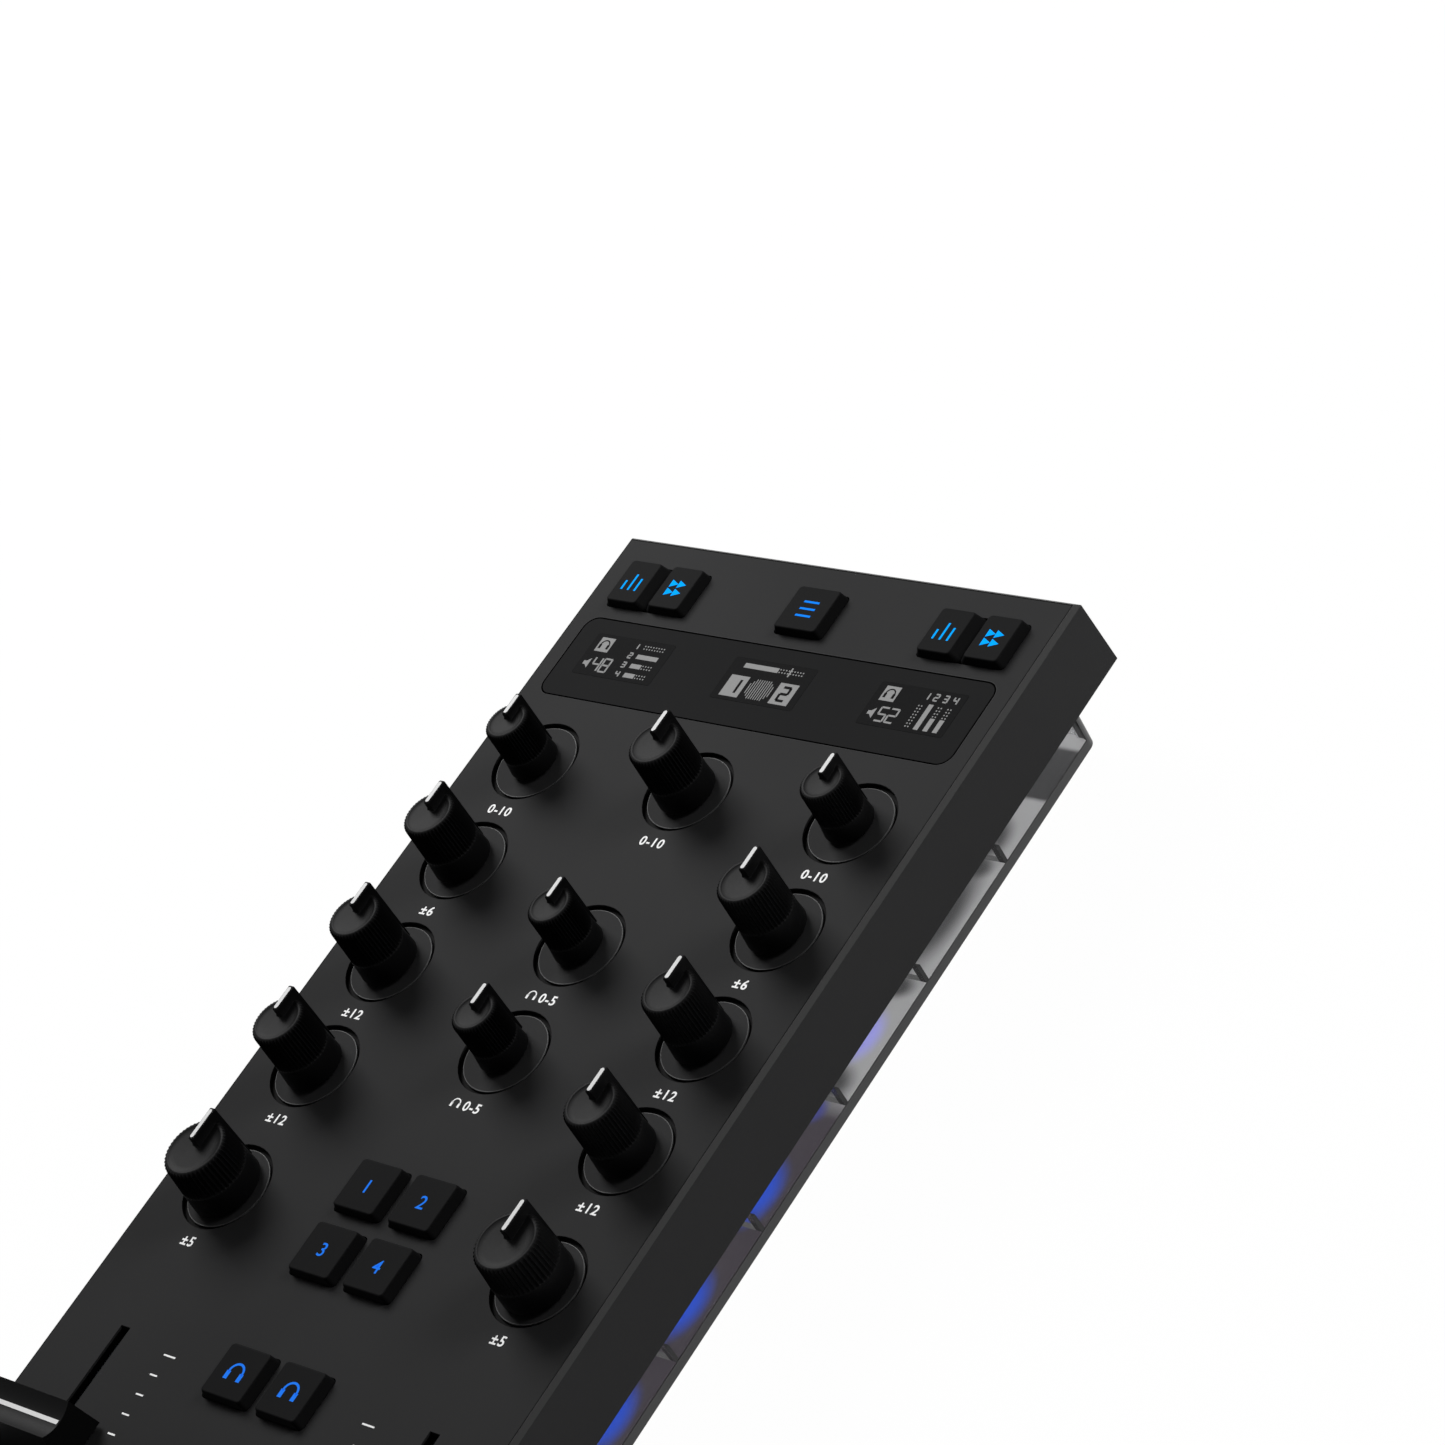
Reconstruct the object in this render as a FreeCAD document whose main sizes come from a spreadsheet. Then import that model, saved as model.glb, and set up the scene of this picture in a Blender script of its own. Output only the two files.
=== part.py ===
"""A slim two-channel dj mixer with a raised smoked light base, built as an assembly.

Lengths are in millimetres. The origin is on the table under the middle of the mixer,
X points to the player's right, Y to the rear and Z up.
"""
import os
import re

import FreeCAD
import Part
import Sketcher

os.makedirs("parts", exist_ok=True)
doc = FreeCAD.newDocument("dj_mixer")
sheet = doc.addObject("Spreadsheet::Sheet", "sizes")

# Driving sizes
SIZES = (
    # feet and smoked light base
    ("foot_height", 1.7),
    ("foot_radius", 5.5),
    ("foot_side_inset", 8.5),
    ("foot_end_inset", 13.9),
    ("base_height", 16.6),
    ("base_inset", 8.1),
    ("base_draft", 1.4),
    ("base_corner", 2.5),
    ("base_wall", 1.8),
    ("base_floor", 2.6),
    ("rib_height", 4.5),
    ("rib_thickness", 1.6),
    ("strip_width", 7.0),
    ("strip_thickness", 1.2),
    ("strip_inset", 8.5),
    ("strip_end_gap", 10.9),
    ("lamp_side", 3.5),
    ("lamp_height", 1.4),
    ("lamp_margin", 8.0),
    # shell and chassis
    ("shell_width", 121.2),
    ("shell_length", 294.0),
    ("shell_height", 16.7),
    ("shell_draft", 2.05),
    ("shell_wall", 2.4),
    ("rim_chamfer", 0.85),
    ("rim_land", 0.05),
    ("panel_seam", 0.2),
    ("boss_radius", 2.4),
    ("boss_inset", 24.0),
    ("chassis_thickness", 1.5),
    ("chassis_gap", 0.15),
    ("post_radius", 3.0),
    ("post_side_inset", 28.0),
    ("post_end_inset", 34.0),
    # screws
    ("screw_radius", 1.25),
    ("screw_head_radius", 2.3),
    ("screw_head_height", 1.4),
    ("screw_length", 6.0),
    ("pillar_radius", 3.4),
    ("pillar_side_inset", 24.5),
    ("pillar_end_inset", 6.3),
    # top panel and display window
    ("panel_thickness", 2.0),
    ("ring_radius", 10.03),
    ("ring_width", 0.9),
    ("ring_depth", 1.0),
    ("dish_depth", 0.45),
    ("window_margin", 5.75),
    ("window_width", 20.7),
    ("window_corner", 3.0),
    ("window_thickness", 1.2),
    ("window_seam", 0.15),
    ("window_inset", 33.2),
    ("display_length", 27.0),
    ("display_width", 15.0),
    ("display_thickness", 1.5),
    ("display_inset", 16.15),
    ("display_shift", 1.2),
    # circuit board and controls fixed on it
    ("board_drop", 7.5),
    ("board_thickness", 1.6),
    ("board_side_gap", 5.6),
    ("board_end_gap", 2.0),
    ("pot_length", 11.0),
    ("pot_width", 10.0),
    ("pot_height", 4.9),
    ("shaft_radius", 3.0),
    ("shaft_fit", 0.05),
    ("shaft_hole", 3.7),
    ("knob_fit", 0.02),
    # knob layout
    ("channel_inset", 18.26),
    ("gain_inset", 60.42),
    ("row_pitch", 26.34),
    ("mix_drop", 39.31),
    ("filter_drop", 108.78),
    ("knob_gap", 0.35),
    ("flute_count", 48),
    ("flute_radius", 0.24),
    ("rim_round", 0.7),
    ("fin_thickness", 1.45),
    ("fin_blend", 0.3),
    # small knob
    ("small_base", 5.35),
    ("small_waist", 4.95),
    ("small_waist_height", 4.2),
    ("small_rim", 4.88),
    ("small_top", 12.5),
    ("small_fin_top", 14.0),
    ("small_fin_start", 0.5),
    ("small_fin_reach", 6.0),
    # medium knob
    ("medium_base", 6.3),
    ("medium_waist", 5.95),
    ("medium_waist_height", 5.5),
    ("medium_rim", 5.75),
    ("medium_top", 14.6),
    ("medium_fin_top", 16.7),
    ("medium_fin_start", 0.9),
    ("medium_fin_reach", 6.85),
    # large knob
    ("large_base", 7.6),
    ("large_waist", 7.35),
    ("large_waist_height", 5.5),
    ("large_rim", 6.9),
    ("large_top", 12.4),
    ("large_fin_top", 14.55),
    ("large_fin_start", 0.6),
    ("large_fin_reach", 8.1),
    # buttons
    ("button_height", 2.0),
    ("button_length", 11.0),
    ("button_slope", 0.9),
    ("button_end_slope", 0.2),
    ("button_corner", 0.9),
    ("button_round", 0.35),
    ("opening_corner", 1.1),
    ("button_clearance", 0.2),
    ("button_travel", 0.8),
    ("flange_width", 0.7),
    ("flange_thickness", 1.0),
    ("stem_radius", 1.6),
    ("switch_side", 6.0),
    ("switch_height", 2.4),
    ("top_button_inset", 13.7),
    ("pair_width", 8.2),
    ("pair_inner_slope", 1.7),
    ("pair_inset", 12.5),
    ("pair_pitch", 11.9),
    ("menu_width", 10.9),
    ("pad_width", 10.7),
    ("pad_pitch", 14.9),
    ("cue_drop", 35.8),
    # faders
    ("fader_travel", 45.0),
    ("fader_drop", 58.8),
    ("crossfader_inset", 19.0),
    ("fader_body_width", 9.0),
    ("fader_body_height", 4.9),
    ("slot_width", 2.6),
    ("slot_margin", 0.8),
    ("lever_length", 4.0),
    ("lever_thickness", 1.4),
    ("lever_rise", 8.0),
    ("cap_length", 11.0),
    ("cap_width", 22.0),
    ("cap_height", 10.0),
    ("cap_lean", 1.6),
    ("cap_gap", 0.9),
    ("cap_dip_radius", 8.0),
    ("cap_dip_depth", 2.6),
    # rear sockets
    ("notch_width", 62.0),
    ("notch_height", 8.7),
    ("plate_thickness", 2.0),
    ("plate_gap", 0.1),
    ("jack_x", 19.0),
    ("jack_width", 7.0),
    ("jack_height", 5.6),
    ("jack_depth", 14.5),
    ("jack_bush_radius", 2.7),
    ("jack_bore", 1.8),
    ("jack_bore_depth", 14.0),
    ("usb_width", 9.2),
    ("usb_height", 3.4),
    ("usb_depth", 8.0),
    ("usb_slot_width", 8.3),
    ("usb_slot_height", 2.5),
    ("usb_slot_depth", 6.2),
    ("usb_tongue_width", 6.6),
    ("usb_tongue_height", 0.7),
    ("usb_tongue_depth", 4.4),
)
for row, (alias, number) in enumerate(SIZES, start=1):
    sheet.set("A%d" % row, alias)
    sheet.set("B%d" % row, str(number))
    sheet.setAlias("B%d" % row, alias)
doc.recompute()
ALIASES = dict(SIZES)

# Heights that several pieces share, written with the sizes above
BASE_Z = "foot_height"
SHELL_Z = "(foot_height + base_height)"
PANEL_Z = "(foot_height + base_height + shell_height)"
UNDER_PANEL_Z = "(foot_height + base_height + shell_height - panel_thickness)"
BOARD_Z = "(foot_height + base_height + shell_height - board_drop)"
UNDER_BOARD_Z = "(foot_height + base_height + shell_height - board_drop - board_thickness)"
SHELL_LEAN = "(shell_height * tan(shell_draft * 1 deg))"
BASE_LEAN = "(base_height * tan(base_draft * 1 deg))"
PANEL_INSET = "(shell_height * tan(shell_draft * 1 deg) + rim_chamfer + rim_land)"
CAVITY_INSET = "(shell_height * tan(shell_draft * 1 deg) + shell_wall)"

# Places worked out from the edges of the shell, the base and the board
HALF_BASE_X = "(shell_width / 2 - base_inset)"
HALF_BASE_Y = "(shell_length / 2 - base_inset)"
FOOT_X = "(%s - foot_side_inset)" % HALF_BASE_X
FOOT_Y = "(%s - foot_end_inset)" % HALF_BASE_Y
PILLAR_X = "(%s - pillar_side_inset)" % HALF_BASE_X
PILLAR_Y = "(%s - pillar_end_inset)" % HALF_BASE_Y
STRIP_X = "(%s - strip_inset)" % HALF_BASE_X
STRIP_LENGTH = "(2 * (%s - strip_end_gap))" % HALF_BASE_Y
LAMP_PITCH = "((%s - 2 * lamp_margin) / 8)" % STRIP_LENGTH
BOSS_Y = "(shell_length / 2 - %s - boss_inset)" % CAVITY_INSET
BOARD_WIDTH = "(shell_width - 2 * %s - 2 * board_side_gap)" % CAVITY_INSET
BOARD_LENGTH = "(shell_length - 2 * %s - 2 * board_end_gap)" % CAVITY_INSET
POST_X = "(%s / 2 - post_side_inset)" % BOARD_WIDTH
POST_Y = "(%s / 2 - post_end_inset)" % BOARD_LENGTH
WINDOW_LENGTH = "(shell_width - 2 * window_margin)"
WINDOW_Y = "(shell_length / 2 - window_inset)"
DISPLAY_X = "(%s / 2 - display_inset)" % WINDOW_LENGTH
DISPLAY_Y = "(%s + display_shift)" % WINDOW_Y
CHANNEL_X = "(shell_width / 2 - channel_inset)"
GAIN_Y = "(shell_length / 2 - gain_inset)"
MIX_Y = "(%s - mix_drop)" % GAIN_Y
FILTER_Y = "(%s - filter_drop)" % GAIN_Y
CUE_Y = "(%s - cue_drop)" % FILTER_Y
FADER_Y = "(%s - fader_drop)" % FILTER_Y
CROSSFADER_Y = "(crossfader_inset - shell_length / 2)"
TOP_BUTTON_Y = "(shell_length / 2 - top_button_inset)"
PAIR_OUTER_X = "(shell_width / 2 - pair_inset)"
PAIR_INNER_X = "(%s - pair_pitch)" % PAIR_OUTER_X


def formula(text):
    """Write the size names in an expression as cells of the sheet."""
    return re.sub(r"[a-z_]+", lambda m: "sizes." + m.group(0) if m.group(0) in ALIASES else m.group(0), text)


def bind(thing, **expressions):
    """Bind properties of a document object to the sheet; x, y and z set its place."""
    for key, text in expressions.items():
        path = "Placement.Base." + key if key in ("x", "y", "z") else key
        thing.setExpression(path, formula(text))
    return thing


def block(label, length, width, height, x="0", y="0", z="0"):
    """A box centred on x and y that stands on z."""
    box = doc.addObject("Part::Box", label)
    bind(box, Length=length, Width=width, Height=height)
    return bind(box, x="%s - (%s) / 2" % (x, length), y="%s - (%s) / 2" % (y, width), z=z)


def rod(label, radius, height, x="0", y="0", z="0"):
    """An upright cylinder that stands on z."""
    return bind(doc.addObject("Part::Cylinder", label), Radius=radius, Height=height, x=x, y=y, z=z)


def rod_along_y(label, radius, length, x, y, z):
    """A cylinder that starts at y and runs towards the rear."""
    cylinder = rod(label, radius, length, x, y, z)
    cylinder.Placement.Rotation = FreeCAD.Rotation(FreeCAD.Vector(1, 0, 0), -90)
    return cylinder


def tapered(label, left, right, depth, height, top_left, top_right, top_depth, z):
    """A block with sloping sides: half widths left and right, half depth, then the same above."""
    wedge = doc.addObject("Part::Wedge", label)
    wedge.Placement.Rotation = FreeCAD.Rotation(FreeCAD.Vector(1, 0, 0), 90)
    bind(wedge, Xmin="-(%s)" % left, Xmax=right, Zmin="-(%s)" % depth, Zmax=depth, Ymin="0", Ymax=height)
    bind(wedge, X2min="-(%s)" % top_left, X2max=top_right, Z2min="-(%s)" % top_depth, Z2max=top_depth)
    return bind(wedge, z=z)


def spots(x, y, rows):
    """Places on both sides of the middle, in the given rows, as expressions."""
    return [("%d * %s" % (side, x), "%d * %s" % (row, y)) for side in (-1, 1) for row in rows]


def rods(label, radius, height, places, z):
    """An upright cylinder at each place."""
    return [rod("%s_%d" % (label, n), radius, height, x, y, z) for n, (x, y) in enumerate(places, start=1)]


def join(label, pieces):
    """One solid made of several that overlap or touch."""
    fuse = doc.addObject("Part::MultiFuse", label)
    fuse.Shapes = pieces
    return fuse


def cut(label, base, tools):
    """A solid with other solids taken away from it."""
    tool = tools[0]
    if len(tools) > 1:
        tool = gather(label + "_tools", tools)
    result = doc.addObject("Part::Cut", label)
    result.Base = base
    result.Tool = tool
    return result


def gather(label, pieces):
    """Several separate solids as one group."""
    group = doc.addObject("Part::Compound", label)
    group.Links = pieces
    return group


def place(label, master, x="0", y="0", z="0", turn=0):
    """One more copy of a master solid, at its own place."""
    copy = gather(label, [master])
    copy.Placement.Rotation = FreeCAD.Rotation(FreeCAD.Vector(0, 0, 1), turn)
    return bind(copy, x=x, y=y, z=z)


def rounded(label, base, radius, wanted):
    """Round the edges of a solid that the test picks."""
    doc.recompute()
    fillet = doc.addObject("Part::Fillet", label)
    fillet.Base = base
    size = sheet.get(radius)
    fillet.Edges = [(n, size, size) for n, edge in enumerate(base.Shape.Edges, start=1) if wanted(edge)]
    return fillet


def upright(edge):
    """Whether an edge rises from the lower to the upper face."""
    ends = [vertex.Point for vertex in edge.Vertexes]
    return len(ends) == 2 and abs(ends[0].z - ends[1].z) > 0.5


def at_crown(edge):
    """Whether an edge lies wholly above the foot."""
    return min(vertex.Point.z for vertex in edge.Vertexes) > 0.5


# Smoked light base: a shallow clear tub with cross ribs, screw pillars and a thick floor
base_outer = tapered("base_outer", HALF_BASE_X, HALF_BASE_X, HALF_BASE_Y, "base_height",
                     HALF_BASE_X + " + " + BASE_LEAN, HALF_BASE_X + " + " + BASE_LEAN,
                     HALF_BASE_Y + " + " + BASE_LEAN, BASE_Z)
base_rounded = rounded("base_rounded", base_outer, "base_corner", upright)
base_hollow = tapered("base_hollow", HALF_BASE_X + " - base_wall", HALF_BASE_X + " - base_wall",
                      HALF_BASE_Y + " - base_wall", "base_height",
                      HALF_BASE_X + " + " + BASE_LEAN + " - base_wall",
                      HALF_BASE_X + " + " + BASE_LEAN + " - base_wall",
                      HALF_BASE_Y + " + " + BASE_LEAN + " - base_wall", BASE_Z + " + base_floor")
base_tub = cut("base_tub", base_rounded, [base_hollow])
ribs = [block("rib_%d" % n, "shell_width - 2 * base_inset - base_wall", "rib_thickness", "rib_height + 0.2",
              "0", "%s * %s" % (n - 4.5, LAMP_PITCH), BASE_Z + " + base_floor - 0.2") for n in range(1, 9)]
PILLARS = spots(PILLAR_X, PILLAR_Y, (-1, 1))
pillars = rods("pillar", "pillar_radius", "base_height - base_floor + 0.2", PILLARS, BASE_Z + " + base_floor - 0.2")
base_ribbed = join("base_ribbed", [base_tub] + ribs + pillars)
base_bores = rods("base_bore", "screw_radius + 0.15", "base_height + 2", PILLARS, BASE_Z + " - 1")
PILLAR_SEAT = "(base_height + chassis_thickness - screw_length)"
base_sinks = rods("base_sink", "screw_head_radius + 0.3", PILLAR_SEAT + " + 1", PILLARS, BASE_Z + " - 1")
base_drilled = cut("base_drilled", base_ribbed, base_bores)
light_base = cut("light_base", base_drilled, base_sinks)

# Light strips: two narrow boards of lamps under the chassis, shining down into the base
LAMPS = range(-4, 5)
strips = []
for side, hand in ((-1, "left"), (1, "right")):
    x = "%d * %s" % (side, STRIP_X)
    strip = block("strip_" + hand, "strip_width", STRIP_LENGTH, "strip_thickness", x, "0",
                  SHELL_Z + " - strip_thickness")
    lamps = [block("lamp_%s_%d" % (hand, n), "lamp_side", "lamp_side", "lamp_height + 0.1", x,
                   "%d * %s" % (n, LAMP_PITCH), SHELL_Z + " - strip_thickness - lamp_height") for n in LAMPS]
    strips.append(join("strip_board_" + hand, [strip] + lamps))
light_strips = gather("light_strips", strips)

# Rubber feet under the four corners of the base
foot = rod("foot", "foot_radius", "foot_height")
rubber_feet = gather("rubber_feet", [place("foot_%d" % n, foot, x, y)
                                     for n, (x, y) in enumerate(spots(FOOT_X, FOOT_Y, (-1, 1)), start=1)])

# Shell: a drafted frame with a chamfered rim, screw bosses and a rear notch for the sockets
shell_outer = tapered("shell_outer", "shell_width / 2", "shell_width / 2", "shell_length / 2", "shell_height",
                      "shell_width / 2 - " + SHELL_LEAN, "shell_width / 2 - " + SHELL_LEAN,
                      "shell_length / 2 - " + SHELL_LEAN, SHELL_Z)
doc.recompute()
shell_top = shell_outer.Shape.BoundBox.ZMax
shell_edged = doc.addObject("Part::Chamfer", "shell_edged")
shell_edged.Base = shell_outer
shell_edged.Edges = [(n, sheet.get("rim_chamfer"), sheet.get("rim_chamfer"))
                     for n, edge in enumerate(shell_outer.Shape.Edges, start=1)
                     if min(vertex.Point.z for vertex in edge.Vertexes) > shell_top - 0.01]
shell_cavity = block("shell_cavity", "shell_width - 2 * " + CAVITY_INSET, "shell_length - 2 * " + CAVITY_INSET,
                     "shell_height + 2", z=SHELL_Z + " - 1")
panel_seat = block("panel_seat", "shell_width - 2 * " + PANEL_INSET, "shell_length - 2 * " + PANEL_INSET,
                   "panel_thickness + 1", z=UNDER_PANEL_Z)
rear_notch = block("rear_notch", "notch_width", "shell_wall + 4", "notch_height + 1", "0",
                   "shell_length / 2 - shell_wall / 2", SHELL_Z + " - 1")
shell_frame = cut("shell_frame", shell_edged, [join("shell_hollow", [shell_cavity, panel_seat, rear_notch])])
BOSS_X = "(shell_width / 2 - %s - boss_radius + 0.25)" % CAVITY_INSET
BOSSES = spots(BOSS_X, BOSS_Y, (-1, 0, 1))
bosses = rods("boss", "boss_radius", "shell_height - panel_thickness - chassis_thickness", BOSSES,
              SHELL_Z + " + chassis_thickness")
boss_bores = rods("boss_bore", "screw_radius + 0.02", "screw_length", BOSSES, SHELL_Z)
top_shell = cut("top_shell", join("shell_bossed", [shell_frame] + bosses), boss_bores)

# Chassis plate: closes the shell from below, carries the board on posts and takes every screw
chassis_sheet = block("chassis_sheet", "shell_width - 2 * %s - 2 * chassis_gap" % CAVITY_INSET,
                      "shell_length - 2 * %s - 2 * chassis_gap" % CAVITY_INSET, "chassis_thickness", z=SHELL_Z)
POSTS = spots(POST_X, POST_Y, (-1, 0, 1))
posts = rods("post", "post_radius", UNDER_BOARD_Z + " - " + SHELL_Z, POSTS, SHELL_Z)
chassis_holes = rods("chassis_hole", "screw_radius + 0.15", "chassis_thickness + 2", BOSSES, SHELL_Z + " - 1")
chassis_taps = rods("chassis_tap", "screw_radius + 0.02", "chassis_thickness + 2", PILLARS, SHELL_Z + " - 1")
chassis_posted = join("chassis_posted", [chassis_sheet] + posts)
chassis_plate = cut("chassis_plate", chassis_posted, chassis_holes + chassis_taps)

# Case screws: six hold the chassis to the shell, four hold the base to the chassis
screw = join("screw", [rod("screw_head", "screw_head_radius", "screw_head_height", z="-screw_head_height"),
                       rod("screw_shank", "screw_radius", "screw_length - 0.3", z="-0.1")])
shell_screws = [place("shell_screw_%d" % n, screw, x, y, SHELL_Z)
                for n, (x, y) in enumerate(BOSSES, start=1)]
base_screws = [place("base_screw_%d" % n, screw, x, y,
                     BASE_Z + " + " + PILLAR_SEAT) for n, (x, y) in enumerate(PILLARS, start=1)]
case_screws = gather("case_screws", shell_screws + base_screws)

# Main board: one circuit board under all the controls
main_board = block("main_board", BOARD_WIDTH, BOARD_LENGTH, "board_thickness", z=UNDER_BOARD_Z)

# Knob places: name, size, column and row
KNOBS = (
    ("gain_a", "small", "-" + CHANNEL_X, GAIN_Y),
    ("gain_b", "small", CHANNEL_X, GAIN_Y),
    ("main", "medium", "0", GAIN_Y),
    ("high_a", "medium", "-" + CHANNEL_X, GAIN_Y + " - row_pitch"),
    ("high_b", "medium", CHANNEL_X, GAIN_Y + " - row_pitch"),
    ("mid_a", "medium", "-" + CHANNEL_X, GAIN_Y + " - 2 * row_pitch"),
    ("mid_b", "medium", CHANNEL_X, GAIN_Y + " - 2 * row_pitch"),
    ("low_a", "medium", "-" + CHANNEL_X, GAIN_Y + " - 3 * row_pitch"),
    ("low_b", "medium", CHANNEL_X, GAIN_Y + " - 3 * row_pitch"),
    ("cue_mix", "small", "0", MIX_Y),
    ("cue_volume", "small", "0", MIX_Y + " - row_pitch"),
    ("filter_a", "large", "-" + CHANNEL_X, FILTER_Y),
    ("filter_b", "large", CHANNEL_X, FILTER_Y),
)

# Button places: name, master, column, row and whether the master is turned about
BUTTONS = (
    ("view_a", "pair", "-" + PAIR_OUTER_X, TOP_BUTTON_Y, 0),
    ("deck_a", "pair", "-" + PAIR_INNER_X, TOP_BUTTON_Y, 180),
    ("menu", "menu", "0", TOP_BUTTON_Y, 0),
    ("view_b", "pair", PAIR_INNER_X, TOP_BUTTON_Y, 0),
    ("deck_b", "pair", PAIR_OUTER_X, TOP_BUTTON_Y, 180),
    ("effect_1", "pad", "-pad_pitch / 2", FILTER_Y + " + pad_pitch / 2", 0),
    ("effect_2", "pad", "pad_pitch / 2", FILTER_Y + " + pad_pitch / 2", 0),
    ("effect_3", "pad", "-pad_pitch / 2", FILTER_Y + " - pad_pitch / 2", 0),
    ("effect_4", "pad", "pad_pitch / 2", FILTER_Y + " - pad_pitch / 2", 0),
    ("cue_a", "pad", "-pad_pitch / 2", CUE_Y, 0),
    ("cue_b", "pad", "pad_pitch / 2", CUE_Y, 0),
)

# Fader places: name, column, row and turn
FADERS = (
    ("fader_a", "-" + CHANNEL_X, FADER_Y, 0),
    ("fader_b", CHANNEL_X, FADER_Y, 0),
    ("crossfader", "0", CROSSFADER_Y, 90),
)

# Top panel: a thin plate let into the shell, with openings for the controls and a ring around each knob
panel_plate = block("panel_plate", "shell_width - 2 * %s - 2 * panel_seam" % PANEL_INSET,
                    "shell_length - 2 * %s - 2 * panel_seam" % PANEL_INSET, "panel_thickness", z=UNDER_PANEL_Z)
ring_groove = cut("ring_groove", rod("ring_outer", "ring_radius", "ring_depth + 1", z="-ring_depth"),
                  [rod("ring_inner", "ring_radius - ring_width", "ring_depth + 3", z="-ring_depth - 1")])
ring_dish = rod("ring_dish", "ring_radius - 0.02", "dish_depth + 1", z="-dish_depth")
ring_hole = rod("ring_hole", "shaft_hole", "panel_thickness + 2", z="-panel_thickness - 1")
ring_tool = join("ring_tool", [ring_groove, ring_dish, ring_hole])
panel_tools = [place("ring_cut_" + name, ring_tool, x, y, PANEL_Z) for name, size, x, y in KNOBS]
WINDOW_CUT = (WINDOW_LENGTH + " + 2 * window_seam", "window_width + 2 * window_seam")
window_seat_block = block("window_seat_block", *WINDOW_CUT, "window_thickness + 1", "0", WINDOW_Y,
                          PANEL_Z + " - window_thickness")
window_seat = rounded("window_seat", window_seat_block, "window_corner", upright)
window_gap = block("window_gap", "2 * %s + display_length + 1" % DISPLAY_X, "display_width + 1",
                   "panel_thickness + 1", "0", DISPLAY_Y, UNDER_PANEL_Z + " - 0.5")
panel_tools.append(join("window_tool", [window_seat, window_gap]))
OPENING_Z = UNDER_PANEL_Z + " - 1"
SIDE_ROOM = "2 * (button_slope + button_clearance)"
END_ROOM = "button_length + 2 * (button_end_slope + button_clearance)"
PAIR_MIDDLE = "(%s - pair_pitch / 2)" % PAIR_OUTER_X
openings = [("pair_" + hand, "pair_pitch + pair_width", "%d * %s" % (sign, PAIR_MIDDLE), TOP_BUTTON_Y)
            for hand, sign in (("a", -1), ("b", 1))]
openings += [(name, master + "_width", x, y) for name, master, x, y, turn in BUTTONS if master != "pair"]
for name, width, x, y in openings:
    opening = block("opening_block_" + name, width + " + " + SIDE_ROOM, END_ROOM, "panel_thickness + 2", x, y,
                    OPENING_Z)
    panel_tools.append(rounded("opening_" + name, opening, "opening_corner", upright))
slot = block("slot", "slot_width", "fader_travel + lever_length + 2 * slot_margin", "panel_thickness + 2")
for name, x, y, turn in FADERS:
    panel_tools.append(place("slot_" + name, slot, x, y, OPENING_Z, turn))
top_panel = cut("top_panel", panel_plate, panel_tools)

# Display window: a smooth dark sheet over the three displays
window_sheet = block("window_sheet", WINDOW_LENGTH, "window_width", "window_thickness", "0", WINDOW_Y,
                     PANEL_Z + " - window_thickness")
display_window = rounded("display_window", window_sheet, "window_corner", upright)

# Displays: three small glass modules stuck under the window
display = block("display", "display_length", "display_width", "display_thickness")
displays = gather("displays", [place("display_%d" % n, display, "%d * %s" % (column, DISPLAY_X), DISPLAY_Y,
                                     PANEL_Z + " - window_thickness - display_thickness")
                               for n, column in enumerate((-1, 0, 1), start=1)])

# Rotary controls on the board: a body with a round bearing for its shaft
pot = cut("pot", block("pot_block", "pot_width", "pot_length", "pot_height"),
          [rod("pot_bearing", "shaft_radius + shaft_fit", "pot_height", z="0.9")])
pot_bodies = gather("pot_bodies", [place("pot_" + name, pot, x, y, BOARD_Z) for name, size, x, y in KNOBS])

# Shafts: each turns in its rotary control and carries a knob
BORE_TOP = "(%s_top - 2.5)"
SHAFT_FOOT = "(board_drop - 1)"
shafts = []
for size in ("small", "medium", "large"):
    shaft_length = "%s - 0.2 + %s" % (BORE_TOP % size, SHAFT_FOOT)
    rod("shaft_master_" + size, "shaft_radius", shaft_length, z="-" + SHAFT_FOOT)
for name, size, x, y in KNOBS:
    shafts.append(place("shaft_" + name, doc.getObject("shaft_master_" + size), x, y, PANEL_Z))


def flat_sketch(body, label, plane):
    """An empty sketch on one of the body's own planes: 3 is level, 4 faces the front, 5 faces the side."""
    sketch = body.newObject("Sketcher::SketchObject", label)
    sketch.AttachmentSupport = (body.Origin.OriginFeatures[plane], [""])
    sketch.MapMode = "FlatFace"
    return sketch


def outline(sketch, points):
    """A closed outline through points whose distances from the sketch origin follow the sheet."""
    corners = [FreeCAD.Vector(float(sheet.evalExpression(formula(across))), float(sheet.evalExpression(formula(up))))
               for across, up in points]
    last = len(corners) - 1
    for n, corner in enumerate(corners):
        sketch.addGeometry(Part.LineSegment(corner, corners[0 if n == last else n + 1]))
    for n, corner in enumerate(corners):
        sketch.addConstraint(Sketcher.Constraint("Coincident", n, 2, 0 if n == last else n + 1, 1))
    for n, (across, up) in enumerate(points):
        for kind, axis, text, size in (("DistanceX", -2, across, corners[n].x),
                                       ("DistanceY", -1, up, corners[n].y)):
            if text == "0":
                sketch.addConstraint(Sketcher.Constraint("PointOnObject", n, 1, axis))
            else:
                index = sketch.addConstraint(Sketcher.Constraint(kind, -1, 1, n, 1, size))
                sketch.setExpression("Constraints[%d]" % index, formula(text))


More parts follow.
